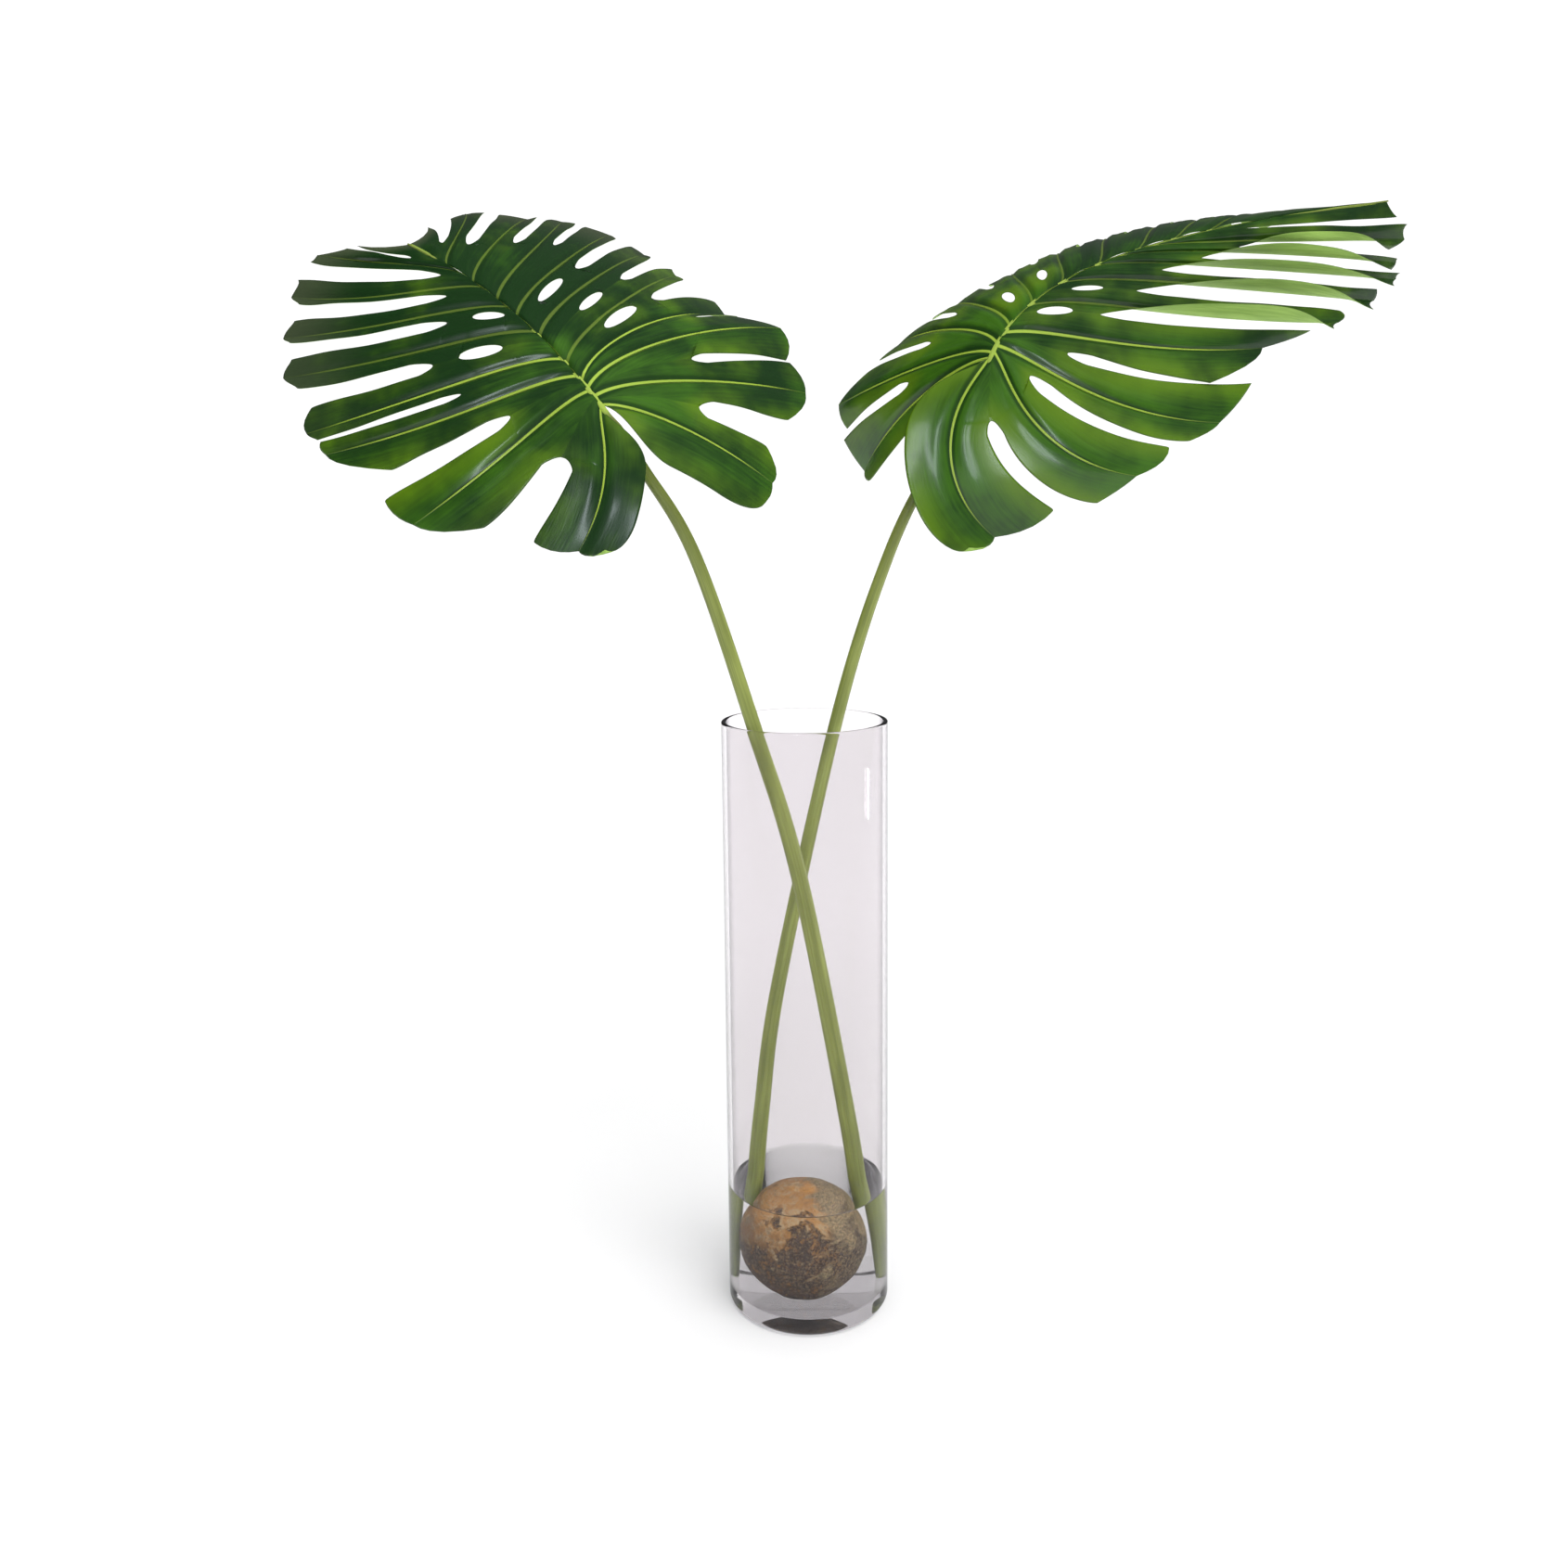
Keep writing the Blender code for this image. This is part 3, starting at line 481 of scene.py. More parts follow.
def stalk_material(settings):
    """Smooth green with fine lengthwise lines, with painted shade in the groove and a painted shadow of the blade
    towards its top.
    """
    recipe = Recipe("petiole_green")
    strip = recipe.attribute("strip", "Vector")
    groove = recipe.attribute("vein")
    rib = recipe.attribute("shade")
    lines = recipe.noise(recipe.scaled(strip, (9, 900, 1)), 1.0, 3, 0.6)
    patches = recipe.noise(recipe.scaled(strip, (16, 90, 1)), 1.0, 3, 0.5)
    colour = recipe.mix(recipe.step(lines, 0.3, 0.7) * 0.45, settings.stalk, settings.stalk_shade)
    colour = recipe.mix(recipe.step(patches, 0.35, 0.75) * 0.35, colour, settings.stalk_shade)
    # painted shade in the groove on the petiole's upper side
    colour = recipe.mix(groove * 0.25, colour, settings.stalk_shade)
    # painted shadow: darker towards the top, where the petiole runs under the blade
    upper = recipe.step(recipe.axis(strip, "X"), 0.6, 0.84)
    colour = recipe.mix(upper * 0.6, colour, settings.stalk_shade)
    colour = recipe.mix(rib, colour, settings.vein)
    return recipe.surface(recipe.principled({
        "Base Color": colour, "Roughness": 0.42 + lines * 0.15,
        "Normal": recipe.bump(lines, 0.3 * MM, 0.6)}))


def finish_piece(obj, name, node, material):
    """Names a piece, settles its place into its mesh and ties it to the frame."""
    bpy.ops.object.transform_apply(location=True, rotation=True, scale=True)
    obj.name = name
    obj.data.name = name
    obj.data.materials.clear()
    obj.data.materials.append(material)
    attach(obj, BODY)
    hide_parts(node)
    return obj


def edit(obj):
    """Opens edit mode with nothing selected and gives the mesh."""
    bpy.ops.object.mode_set(mode="EDIT")
    bpy.ops.mesh.select_all(action="DESELECT")
    return bmesh.from_edit_mesh(obj.data)


def pick_faces(obj, test):
    """Selects the faces that pass a test, and nothing else."""
    bpy.ops.mesh.select_mode(type="FACE")
    bpy.ops.mesh.select_all(action="DESELECT")
    bm = bmesh.from_edit_mesh(obj.data)
    for face in bm.faces:
        if test(face):
            face.select_set(True)
    bmesh.update_edit_mesh(obj.data)


def pick_ring(obj, radius, height):
    """Selects the ring of edges at a distance from the axis and a height."""
    bpy.ops.mesh.select_mode(type="EDGE")
    bpy.ops.mesh.select_all(action="DESELECT")
    bm = bmesh.from_edit_mesh(obj.data)
    for edge in bm.edges:
        if all(abs(v.co.xy.length - radius) < 0.05 * MM and abs(v.co.z - height) < 0.05 * MM
               for v in edge.verts):
            edge.select_set(True)
    bmesh.update_edit_mesh(obj.data)


def cylinder(radius, low, high, sides):
    """A capped cylinder on the axis, with its place in its mesh."""
    bpy.ops.object.select_all(action="DESELECT")
    bpy.ops.mesh.primitive_cylinder_add(vertices=sides, radius=radius, depth=high - low,
                                        location=(0, 0, (low + high) / 2))
    bpy.ops.object.transform_apply(location=True, rotation=True, scale=True)
    return bpy.context.active_object


def smooth_clear(obj, degrees):
    """Smooths a clear piece. Its large faces keep their own normals, so that they don't bend light."""
    bpy.ops.object.shade_smooth_by_angle(angle=math.radians(degrees))
    modifier = obj.modifiers.new("even_normals", "WEIGHTED_NORMAL")
    modifier.mode = "FACE_AREA"
    modifier.weight = 100
    modifier.keep_sharp = True
    bpy.ops.object.modifier_apply(modifier=modifier.name)


class MONSTERA_OT_vase(bpy.types.Operator):
    """Turns a cylinder into the glass vase: thick base, rounded heel and a softened rim"""
    bl_idname = "monstera.vase"
    bl_label = "Glass vase"

    SIDES = 160

    def execute(self, context):
        s = context.scene.monstera_vase
        vase = cylinder(s.radius, 0, s.height, self.SIDES)
        inner = s.radius - s.wall
        edit(vase)
        pick_faces(vase, lambda f: f.normal.z > 0.9)
        bpy.ops.mesh.inset(thickness=s.wall)
        bpy.ops.mesh.extrude_region_move(TRANSFORM_OT_translate={"value": (0, 0, s.floor - s.height)})
        for radius, height, offset, segments in ((s.radius, s.height, s.rim, 4), (inner, s.height, s.rim, 4),
                                                 (s.radius, 0, s.heel, 8), (inner, s.floor, s.corner, 6)):
            pick_ring(vase, radius, height)
            bpy.ops.mesh.bevel(offset=offset, segments=segments)
        pick_faces(vase, lambda f: len(f.verts) > 4)
        bpy.ops.mesh.inset(thickness=6 * MM)
        bpy.ops.object.mode_set(mode="OBJECT")
        smooth_clear(vase, 40)
        finish_piece(vase, "glass_vase", "vase", glass_material(s))
        return {"FINISHED"}


class MONSTERA_OT_water(bpy.types.Operator):
    """Fills the vase: the water bites a hair into the glass, so that light bends as at wet glass"""
    bl_idname = "monstera.water"
    bl_label = "Water"

    SIDES = 160
    BITE = 0.1 * MM

    def execute(self, context):
        s = context.scene.monstera_water
        vase = context.scene.monstera_vase
        radius = vase.radius - vase.wall + self.BITE
        low = vase.floor - self.BITE
        water = cylinder(radius, low, s.level + s.climb, self.SIDES)
        edit(water)
        pick_faces(water, lambda f: f.normal.z > 0.9)
        for inset, share in ((0.5 * MM, 0.45), (0.8 * MM, 0.3), (1.4 * MM, 0.18), (2.6 * MM, 0.07)):
            bpy.ops.mesh.inset(thickness=inset, depth=-s.climb * share)
        pick_ring(water, radius, low)
        bpy.ops.mesh.bevel(offset=vase.corner, segments=6)
        bpy.ops.object.mode_set(mode="OBJECT")
        smooth_clear(water, 50)
        finish_piece(water, "still_water", "water", water_material(s))
        return {"FINISHED"}


class MONSTERA_OT_stone(bpy.types.Operator):
    """Shapes the river stone: a ball with broad lumps, small pits and a foot worn flat"""
    bl_idname = "monstera.stone"
    bl_label = "River stone"

    def execute(self, context):
        s = context.scene.monstera_stone
        low, high = STONE_BOX
        half = (high - low) / 2
        half.z = 51 * MM
        centre = Vector(((low.x + high.x) / 2, (low.y + high.y) / 2, high.z - half.z))
        bpy.ops.object.select_all(action="DESELECT")
        bpy.ops.mesh.primitive_ico_sphere_add(subdivisions=6, radius=1, location=centre, scale=half)
        stone = bpy.context.active_object
        bpy.ops.object.transform_apply(location=True, rotation=True, scale=True)
        for name, size, strength in (("broad_lumps", 38 * MM, s.lumps), ("small_pits", 4 * MM, s.pits)):
            clouds = bpy.data.textures.new(name, "CLOUDS")
            clouds.noise_scale = size
            clouds.noise_depth = 2
            modifier = stone.modifiers.new(name, "DISPLACE")
            modifier.texture = clouds
            modifier.texture_coords = "LOCAL"
            modifier.strength = strength
            modifier.mid_level = 0.62
            bpy.ops.object.modifier_apply(modifier=name)
        bm = edit(stone)
        for vert in bm.verts:
            vert.co.z = max(vert.co.z, low.z)
        bmesh.update_edit_mesh(stone.data)
        bpy.ops.object.mode_set(mode="OBJECT")
        bpy.ops.object.shade_smooth()
        finish_piece(stone, "river_stone", "stone", stone_material(s))
        return {"FINISHED"}


def rotation(axis, degrees):
    """A 3x3 rotation as an array."""
    return np.array(Matrix.Rotation(math.radians(degrees), 3, axis))


def smooth_step(values, low, high):
    """0 below low, 1 above high and smooth in between."""
    t = np.clip((values - low) / (high - low), 0, 1)
    return t * t * (3 - 2 * t)


def smooth_path(points, per_span):
    """A Catmull-Rom curve through the points."""
    points = [np.array(p, float) for p in points]
    ends = [2 * points[0] - points[1]] + points + [2 * points[-1] - points[-2]]
    path = []
    for a, b, c, d in zip(ends, ends[1:], ends[2:], ends[3:]):
        for i in range(per_span):
            t = i / per_span
            path.append(0.5 * (2 * b + (c - a) * t + (2 * a - 5 * b + 4 * c - d) * t * t
                               + (3 * b - a - 3 * c + d) * t ** 3))
    path.append(points[-1])
    return np.array(path)


class Midrib:
    """The midrib's curve, with a frame along it: columns are forward, left and up."""
    STEPS = 60

    def __init__(self, leaf):
        self.length = leaf.midrib * MM
        base = (rotation("Z", leaf.facing) @ rotation("X", leaf.slope) @ rotation("Z", leaf.turn)
                @ np.array([(0, -1, 0), (1, 0, 0), (0, 0, 1)], float))
        share = np.linspace(0, 1, self.STEPS + 1)
        if leaf.settle:
            share = (1 - np.exp(-share / leaf.settle)) / (1 - math.exp(-1 / leaf.settle))
        self.frames = np.array([base @ rotation("Z", leaf.sweep * s) @ rotation("Y", leaf.droop * s)
                                for s in share])
        forward = self.frames[:, :, 0]
        steps = (forward[1:] + forward[:-1]) / 2 * self.length / self.STEPS
        self.points = np.vstack([[np.array(leaf.junction)], np.array(leaf.junction) + np.cumsum(steps, axis=0)])

    def at(self, distance):
        """Point and frame at a distance from the junction."""
        place = min(max(distance / self.length, 0), 1) * self.STEPS
        low = min(int(place), self.STEPS - 1)
        mix = place - low
        frame_there = self.frames[low] * (1 - mix) + self.frames[low + 1] * mix
        point = self.points[low] * (1 - mix) + self.points[low + 1] * mix
        return point, frame_there / np.linalg.norm(frame_there, axis=0)


# Rows of faces along a side vein, counted from the midrib.
HOLE_START, HOLE_END, SLIT_START, ROWS = 6, 20, 26, 60
FLARE = 30.0                    # a side vein leaves the midrib this much nearer to the leaf's tip,
FLARE_SHARE = 0.5               # or this share of its heading nearer where that is less,
FLARE_LENGTH = 0.12             # and the difference dies away over this share of the vein
BOW = 0.12                      # a lobe's end bulges by this share of the width of each half
HORN_LENGTH, HORN_WIDTH = 30, 6 # powers that keep a horn short along the lobe, and narrow across it
NEAR_VEIN = (0, 0.8, 1.6, 3.0)  # columns beside a vein, in vein radii
TO_EDGE = (0.16, 0.34, 0.56, 0.8, 0.95, 1.0)    # further columns, as shares of what is left


def border_rows(lobe):
    """Places of the rows along the border between two lobes, close together where it turns."""
    start, end = lobe.hole or (lobe.slit * 0.3, lobe.slit * 0.7)
    rows = np.zeros(ROWS + 1)
    for row in range(ROWS + 1):
        if row <= HOLE_START:
            rows[row] = start * row / HOLE_START
        elif row <= HOLE_END:
            u = (row - HOLE_START) / (HOLE_END - HOLE_START)
            rows[row] = start + (end - start) * (1 - math.cos(math.pi * u)) / 2
        elif row <= SLIT_START:
            rows[row] = end + (lobe.slit - end) * (row - HOLE_END) / (SLIT_START - HOLE_END)
        else:
            u = (row - SLIT_START) / (ROWS - SLIT_START)
            eased = 0.3 * u + 0.7 * (1 - math.cos(math.pi * u)) / 2
            rows[row] = lobe.slit + (1 - lobe.slit) * eased ** 1.25
    return rows


def border_gap(lobe, row, place, roundness):
    """Width of the opening between two lobes at a row of their border."""
    if lobe.hole and HOLE_START < row < HOLE_END:
        u = (place - lobe.hole[0]) / (lobe.hole[1] - lobe.hole[0])
        return lobe.hole_width * MM * math.sqrt(max(0, 1 - (2 * u - 1) ** 2))
    if row <= SLIT_START:
        return 0.0
    u = (place - lobe.slit) / (1 - lobe.slit)
    end = max(0, (place - 0.8) / 0.2)
    gap = lobe.throat * math.sqrt(min(1, u / 0.12)) + (lobe.mouth - lobe.throat) * u
    return (gap + lobe.round_end * roundness * (1 - math.sqrt(max(0, 1 - end * end)))) * MM


def lobe_point(vein, rows, row, edge, w, fullness=1.0):
    """The point at share w of the way from a vein to an edge of its lobe."""
    points, way, above = vein
    base, stretch, curl, horn = edge
    reach = (base - points[row]) * w
    width = np.linalg.norm(reach)
    turn = math.radians(curl) * w * (2 - w)
    bow = BOW * fullness * width * (1 - w) * 4 * rows[row] ** 4
    return (points[row] + reach * math.cos(turn) + above * width * math.sin(turn)
            + stretch * w * w + horn * w ** HORN_WIDTH + way[row] * bow)


class HalfBlade:
    """One half of a blade. side is 1 for the left half and -1 for the right."""
    COLUMNS = len(NEAR_VEIN) + len(TO_EDGE) - 1

    def __init__(self, leaf, midrib, side, settings, dice):
        self.leaf, self.midrib, self.side, self.settings, self.dice = leaf, midrib, side, settings, dice
        self.lobes = leaf.left if side > 0 else leaf.right
        self.fold = math.radians(leaf.fold[0 if side > 0 else 1])
        self.basal = leaf.basal[0 if side > 0 else 1] * MM
        self.points, self.facts, self.triangles = [], [], []
        self.build()

    def add(self, point, facts):
        """Adds a point with what the material needs to know about it."""
        self.points.append(point)
        self.facts.append(facts)
        return len(self.points) - 1

    def vein(self, index, rows):
        """Points, directions and the upper side's direction of a vein, or of the end lobe's midrib."""
        if index == len(self.lobes):
            start = self.leaf.tip * MM
            pairs = [self.midrib.at(start + (self.midrib.length - start) * t) for t in rows]
            points = np.array([point for point, _ in pairs])
            return points, np.array([frame_there[:, 0] for _, frame_there in pairs]), pairs[0][1][:, 2]
        lobe = self.lobes[index]
        root, frame_there = self.midrib.at(lobe.root * MM)
        forward, left, up = frame_there.T
        across = math.cos(self.fold) * self.side * left - math.sin(self.fold) * up
        above = math.cos(self.fold) * up + math.sin(self.fold) * self.side * left
        t = np.linspace(0, 1, 121)
        flare = min(FLARE, lobe.heading * FLARE_SHARE) * np.exp(-t / FLARE_LENGTH)
        heading = np.radians(lobe.heading + lobe.bend * t - flare)[:, None]
        pitch = np.radians(lobe.droop * t)[:, None]
        way = np.cos(pitch) * (np.cos(heading) * forward + np.sin(heading) * across) + np.sin(pitch) * above
        steps = (way[1:] + way[:-1]) / 2 * lobe.length * MM / 120
        points = np.vstack([[root], root + np.cumsum(steps, axis=0)])
        points = np.stack([np.interp(rows, t, points[:, i]) for i in range(3)], 1)
        return points, np.stack([np.interp(rows, t, way[:, i]) for i in range(3)], 1), above

    def vein_length(self, index):
        if index == len(self.lobes):
            return self.midrib.length - self.leaf.tip * MM
        return self.lobes[index].length * MM

    def waves(self, rows, start, size):
        """Heights of the waves along a free margin that begins at start."""
        low, high = self.dice.uniform(0, math.tau, 2)
        fade = smooth_step(rows, start, start + 0.35)
        ripple = np.sin(rows * size / 0.028 + low) * 0.6 + np.sin(rows * size / 0.012 + high) * 0.25
        return ripple * fade * self.settings.wave

    def border(self, index):
        """The border between lobe index and the next: the edge points of both lobes, row by row."""
        lobe = self.lobes[index]
        rows = border_rows(lobe)
        here, way, above = self.vein(index, rows)
        there, next_way, _ = self.vein(index + 1, rows)
        last = index + 1 == len(self.lobes)
        back, curl = (0, 0) if last else (self.lobes[index + 1].back, self.lobes[index + 1].curl)
        near_wave = self.waves(rows, lobe.slit, self.vein_length(index))
        far_wave = self.waves(rows, lobe.slit, self.vein_length(index + 1))
        near, far, welded = [], [], []
        for row in range(ROWS + 1):
            across = there[row] - here[row]
            width = max(np.linalg.norm(across), 1e-6)
            rise = above * self.settings.quilt * min(1, width / (40 * MM))
            middle = here[row] + across * lobe.share + rise
            gap = min(border_gap(lobe, row, rows[row], self.roundness[index]), width * 0.8)
            reach = rows[row] ** 4 * MM
            shift = across / width * gap / 2
            rolled = curl * math.sin(math.pi * max(0, (rows[row] - lobe.slit) / (1 - lobe.slit)))
            hook = rows[row] ** HORN_LENGTH * MM
            near.append((middle - shift + above * near_wave[row], way[row] * reach * lobe.out, 0,
                         way[row] * hook * self.horns[index]))
            far.append((middle + shift + above * far_wave[row], next_way[row] * reach * back, rolled,
                        next_way[row] * hook * self.horns[index + 1]))
            welded.append(gap == 0)
        return rows, near, far, welded

    def outer_border(self):
        """The free edge of the first lobe, along the notch where the petiole joins."""
        lobe = self.lobes[0]
        rows = border_rows(lobe)
        here, way, above = self.vein(0, rows)
        wave = self.waves(rows, 0.1, self.vein_length(0))
        edge = []
        for row, place in enumerate(rows):
            outward = np.cross(way[row], above) * self.side
            outward /= -np.linalg.norm(outward)
            end = max(0, (place - 0.75) / 0.25)
            swell = math.sin(math.pi / 2 * min(1, place / 0.45)) ** 1.4 * (1 - 0.45 * (1 - math.sqrt(1 - end * end)))
            edge.append((here[row] + outward * self.basal * swell + above * wave[row],
                         way[row] * place ** 4 * lobe.back * MM, 0, 0))
        return rows, edge, [False] * (ROWS + 1)

    def place_facts(self, index, along, across, vein, margin):
        """What the material reads: the place on its strip, vein, margin, painted tip sheen, shade and glow."""
        # how much painted grey sheen a place gets, rising towards the lobe's tip
        age = self.painted_sheens[index] * float(smooth_step(along, 0.55, 1.0))
        glow = self.glows[index] * (1 - 0.85 * float(smooth_step(along, 0.7, 0.97)))
        return (along * self.vein_length(index), across * self.side, index * 0.37, vein, margin, age,
                self.shades[index], glow)

    def free_distance(self, rows, welded, size):
        """How far each row of a border is from the nearest opening, along the border."""
        open_rows = rows[~np.array(welded)]
        if not len(open_rows):
            return np.full(len(rows), 1.0)
        return np.abs(rows[:, None] - open_rows[None, :]).min(axis=1) * size

    def strip(self, lobe_index, vein_ids, vein, rows, edge, welded, edge_ids, mirror):
        """Faces between a vein and one edge of its lobe."""
        points, _, above = vein
        s = self.settings
        size = self.vein_length(lobe_index)
        radii = self.vein_radii(lobe_index, rows)
        free = self.free_distance(rows, welded, size)
        even = np.linspace(0, 1, self.COLUMNS + 1)
        grid = []
        for row in range(ROWS + 1):
            width = np.linalg.norm(edge[row][0] - points[row])
            radius = radii[row]
            beside = [radius * k for k in NEAR_VEIN]
            placed = np.array(beside + [beside[-1] + (width - beside[-1]) * k for k in TO_EDGE])
            roomy = float(smooth_step(width, 4 * radius, 9 * radius))
            placed = placed * roomy + even * width * (1 - roomy)
            lift = s.quilt * min(1, width / (20 * MM))
            along = rows[row]
            fade = min(1, along / 0.12) * (1 - along ** 3) * min(1, width / (18 * MM))
            line = [vein_ids[row]]
            for column in range(1, self.COLUMNS + 1):
                v = placed[column]
                w = v / width if width > 1e-9 else 0
                if width < 0.1 * MM:
                    line.append(vein_ids[row])
                    continue
                if column == self.COLUMNS:
                    line.append(edge_ids[row])
                    continue
                bulge = lift * (math.sin(math.pi / 2 * w) - w)
                bulge += s.crest * fade * math.exp(-((v - 8 * MM) / (3.2 * MM)) ** 2) * (1 - w) * 1.4
                bulge -= s.crest * 0.5 * fade * math.exp(-(v / (3.5 * MM)) ** 2)
                point = lobe_point(vein, rows, row, edge[row], w, self.fullness[lobe_index]) + above * bulge
                facts = self.place_facts(lobe_index, along, v, v / radius, width - v + free[row])
                line.append(self.add(point, facts))
            grid.append(line)
        for row in range(ROWS):
            for column in range(self.COLUMNS):
                a, b = grid[row][column], grid[row][column + 1]
                c, d = grid[row + 1][column + 1], grid[row + 1][column]
                if mirror:
                    a, b, c, d = b, a, d, c
                for triangle in ((a, b, c), (a, c, d)):
                    if len(set(triangle)) == 3:
                        self.triangles.append(triangle)

    def vein_radii(self, index, rows):
        """Radius of a vein at each row. The end lobe's vein is the midrib, which is its own piece."""
        root = self.settings.vein_radius * min(1.1, self.vein_length(index) / 0.24)
        if index == len(self.lobes):
            root *= 0.7
        return root * (0.22 + 0.78 * (1 - rows) ** 0.9)

    def build(self):
        count = len(self.lobes)
        roots = np.array([lobe.root for lobe in self.lobes] + [self.leaf.tip], float)
        far = smooth_step(roots, 30, 130)
        self.shades = self.dice.uniform(-0.06, 0.06, count + 1) + self.leaf.shade - 0.2 * far
        self.painted_sheens = self.dice.uniform(0.5, 0.95, count + 1) * far * self.leaf.painted_tip_sheen[0 if self.side > 0 else 1]
        self.fullness = 1 - 1.5 * far
        self.roundness = 1 - 0.7 * far
        self.horns = self.leaf.horn * far * (0.75 + 0.25 * np.sin(np.arange(count + 1) * 2.4))
        bright = self.leaf.bright[0 if self.side > 0 else 1]
        self.glows = 1 - 0.75 * smooth_step(roots, bright, bright + 20)
        borders = [self.border(index) for index in range(count)]
        before, far, welded = self.outer_border()
        shared = [None] * (ROWS + 1)
        for index in range(count + 1):
            rows = (before + borders[index][0]) / 2 if index < count else before
            vein = self.vein(index, rows)
            vein_ids = [self.add(point, self.place_facts(index, t, 0, 0, 0.03)) for point, t in zip(vein[0], rows)]
            far_ids = self.edge_ids(index, vein, rows, far, welded, shared)
            self.strip(index, vein_ids, vein, rows, far, welded, far_ids, mirror=self.side < 0)
            if index == count:
                break
            before, near, far, welded = borders[index]
            near_ids = self.edge_ids(index, vein, rows, near, welded, [None] * (ROWS + 1))
            shared = [near_ids[row] if welded[row] else None for row in range(ROWS + 1)]
            self.strip(index, vein_ids, vein, rows, near, welded, near_ids, mirror=self.side > 0)

    def edge_ids(self, index, vein, rows, edge, welded, shared):
        """The points along an edge of a lobe, some of which it may share with the lobe before."""
        free = self.free_distance(rows, welded, self.vein_length(index))
        ids = []
        for row in range(ROWS + 1):
            if shared[row] is not None:
                ids.append(shared[row])
                continue
            facts = self.place_facts(index, rows[row], 0.02, 20, free[row])
            ids.append(self.add(lobe_point(vein, rows, row, edge[row], 1), facts))
        return ids

    def shell(self):
        """Points, facts and faces of the closed blade, with a ridge along each vein on both faces."""
        points = np.array(self.points)
        facts = np.array(self.facts, float)
        triangles = np.array(self.triangles)
        a, b, c = (points[triangles[:, i]] for i in range(3))
        face_normals = np.cross(b - a, c - a)
        normals = np.zeros_like(points)
        for corner in range(3):
            np.add.at(normals, triangles[:, corner], face_normals)
        normals /= np.maximum(np.linalg.norm(normals, axis=1, keepdims=True), 1e-12)
        if (normals @ self.midrib.frames[0][:, 2]).sum() < 0:
            normals = -normals
            triangles = triangles[:, ::-1]
        ridge = np.exp(-facts[:, 3:4] ** 2) * np.clip(facts[:, 4:5] / 0.004, 0, 1)
        swell = self.settings.vein_radius * ridge * np.clip(1.2 - facts[:, 0:1] / 0.3, 0.2, 1)
        half = self.settings.thickness / 2
        upper = points + normals * (half + swell * 0.3)
        lower = points - normals * (half + swell * 0.9)
        count = len(points)
        faces = [tuple(t) for t in triangles] + [tuple(t[::-1] + count) for t in triangles]
        directed = {(t[i], t[(i + 1) % 3]) for t in triangles for i in range(3)}
        for start, end in sorted(directed):
            if (end, start) not in directed:
                faces.append((end, start, start + count, end + count))
        below = np.concatenate([np.zeros(count), np.ones(count)])
        return np.vstack([upper, lower]), np.column_stack([np.vstack([facts, facts]), below]), faces


FACT_NAMES = ("vein", "margin", "age", "shade", "glow", "under")


def add_facts(mesh, facts):
    """Stores what the material reads: a place on the strip, and the named numbers."""
    strip = mesh.attributes.new("strip", "FLOAT_VECTOR", "POINT")
    strip.data.foreach_set("vector", facts[:, :3].astype(np.float32).ravel())
    for offset, name in enumerate(FACT_NAMES):
        layer = mesh.attributes.new(name, "FLOAT", "POINT")
        layer.data.foreach_set("value", facts[:, 3 + offset].astype(np.float32))


def add_leaf_piece(name, node, points, faces, facts, material):
    """Makes an object of a leaf's points and faces, closed and with its faces outwards."""
    mesh = bpy.data.meshes.new(name)
    mesh.from_pydata([tuple(p) for p in points], [], [tuple(int(i) for i in f) for f in faces])
    add_facts(mesh, facts)
    bm = bmesh.new()
    bm.from_mesh(mesh)
    bmesh.ops.remove_doubles(bm, verts=bm.verts, dist=0.02 * MM)
    bmesh.ops.delete(bm, geom=[v for v in bm.verts if not v.link_faces], context="VERTS")
    bmesh.ops.recalc_face_normals(bm, faces=bm.faces)
    bm.to_mesh(mesh)
    bm.free()
    mesh.shade_smooth()
    piece = bpy.data.objects.new(name, mesh)
    bpy.context.scene.collection.objects.link(piece)
    mesh.materials.append(material)
    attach(piece, BODY)
    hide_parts(node)
    return piece


def make_blade(leaf, midrib, settings, seed, material):
    """Both halves of a blade as one piece."""
    points, facts, faces = [], [], []
    offset = 0
    for side in (1, -1):
        half = HalfBlade(leaf, midrib, side, settings, np.random.default_rng(seed + side))
        half_points, half_facts, half_faces = half.shell()
        points.append(half_points)
        facts.append(half_facts)
        faces += [tuple(i + offset for i in face) for face in half_faces]
        offset += len(half_points)
    add_leaf_piece(leaf.name + "_blade", leaf.name, np.vstack(points), faces, np.vstack(facts), material)


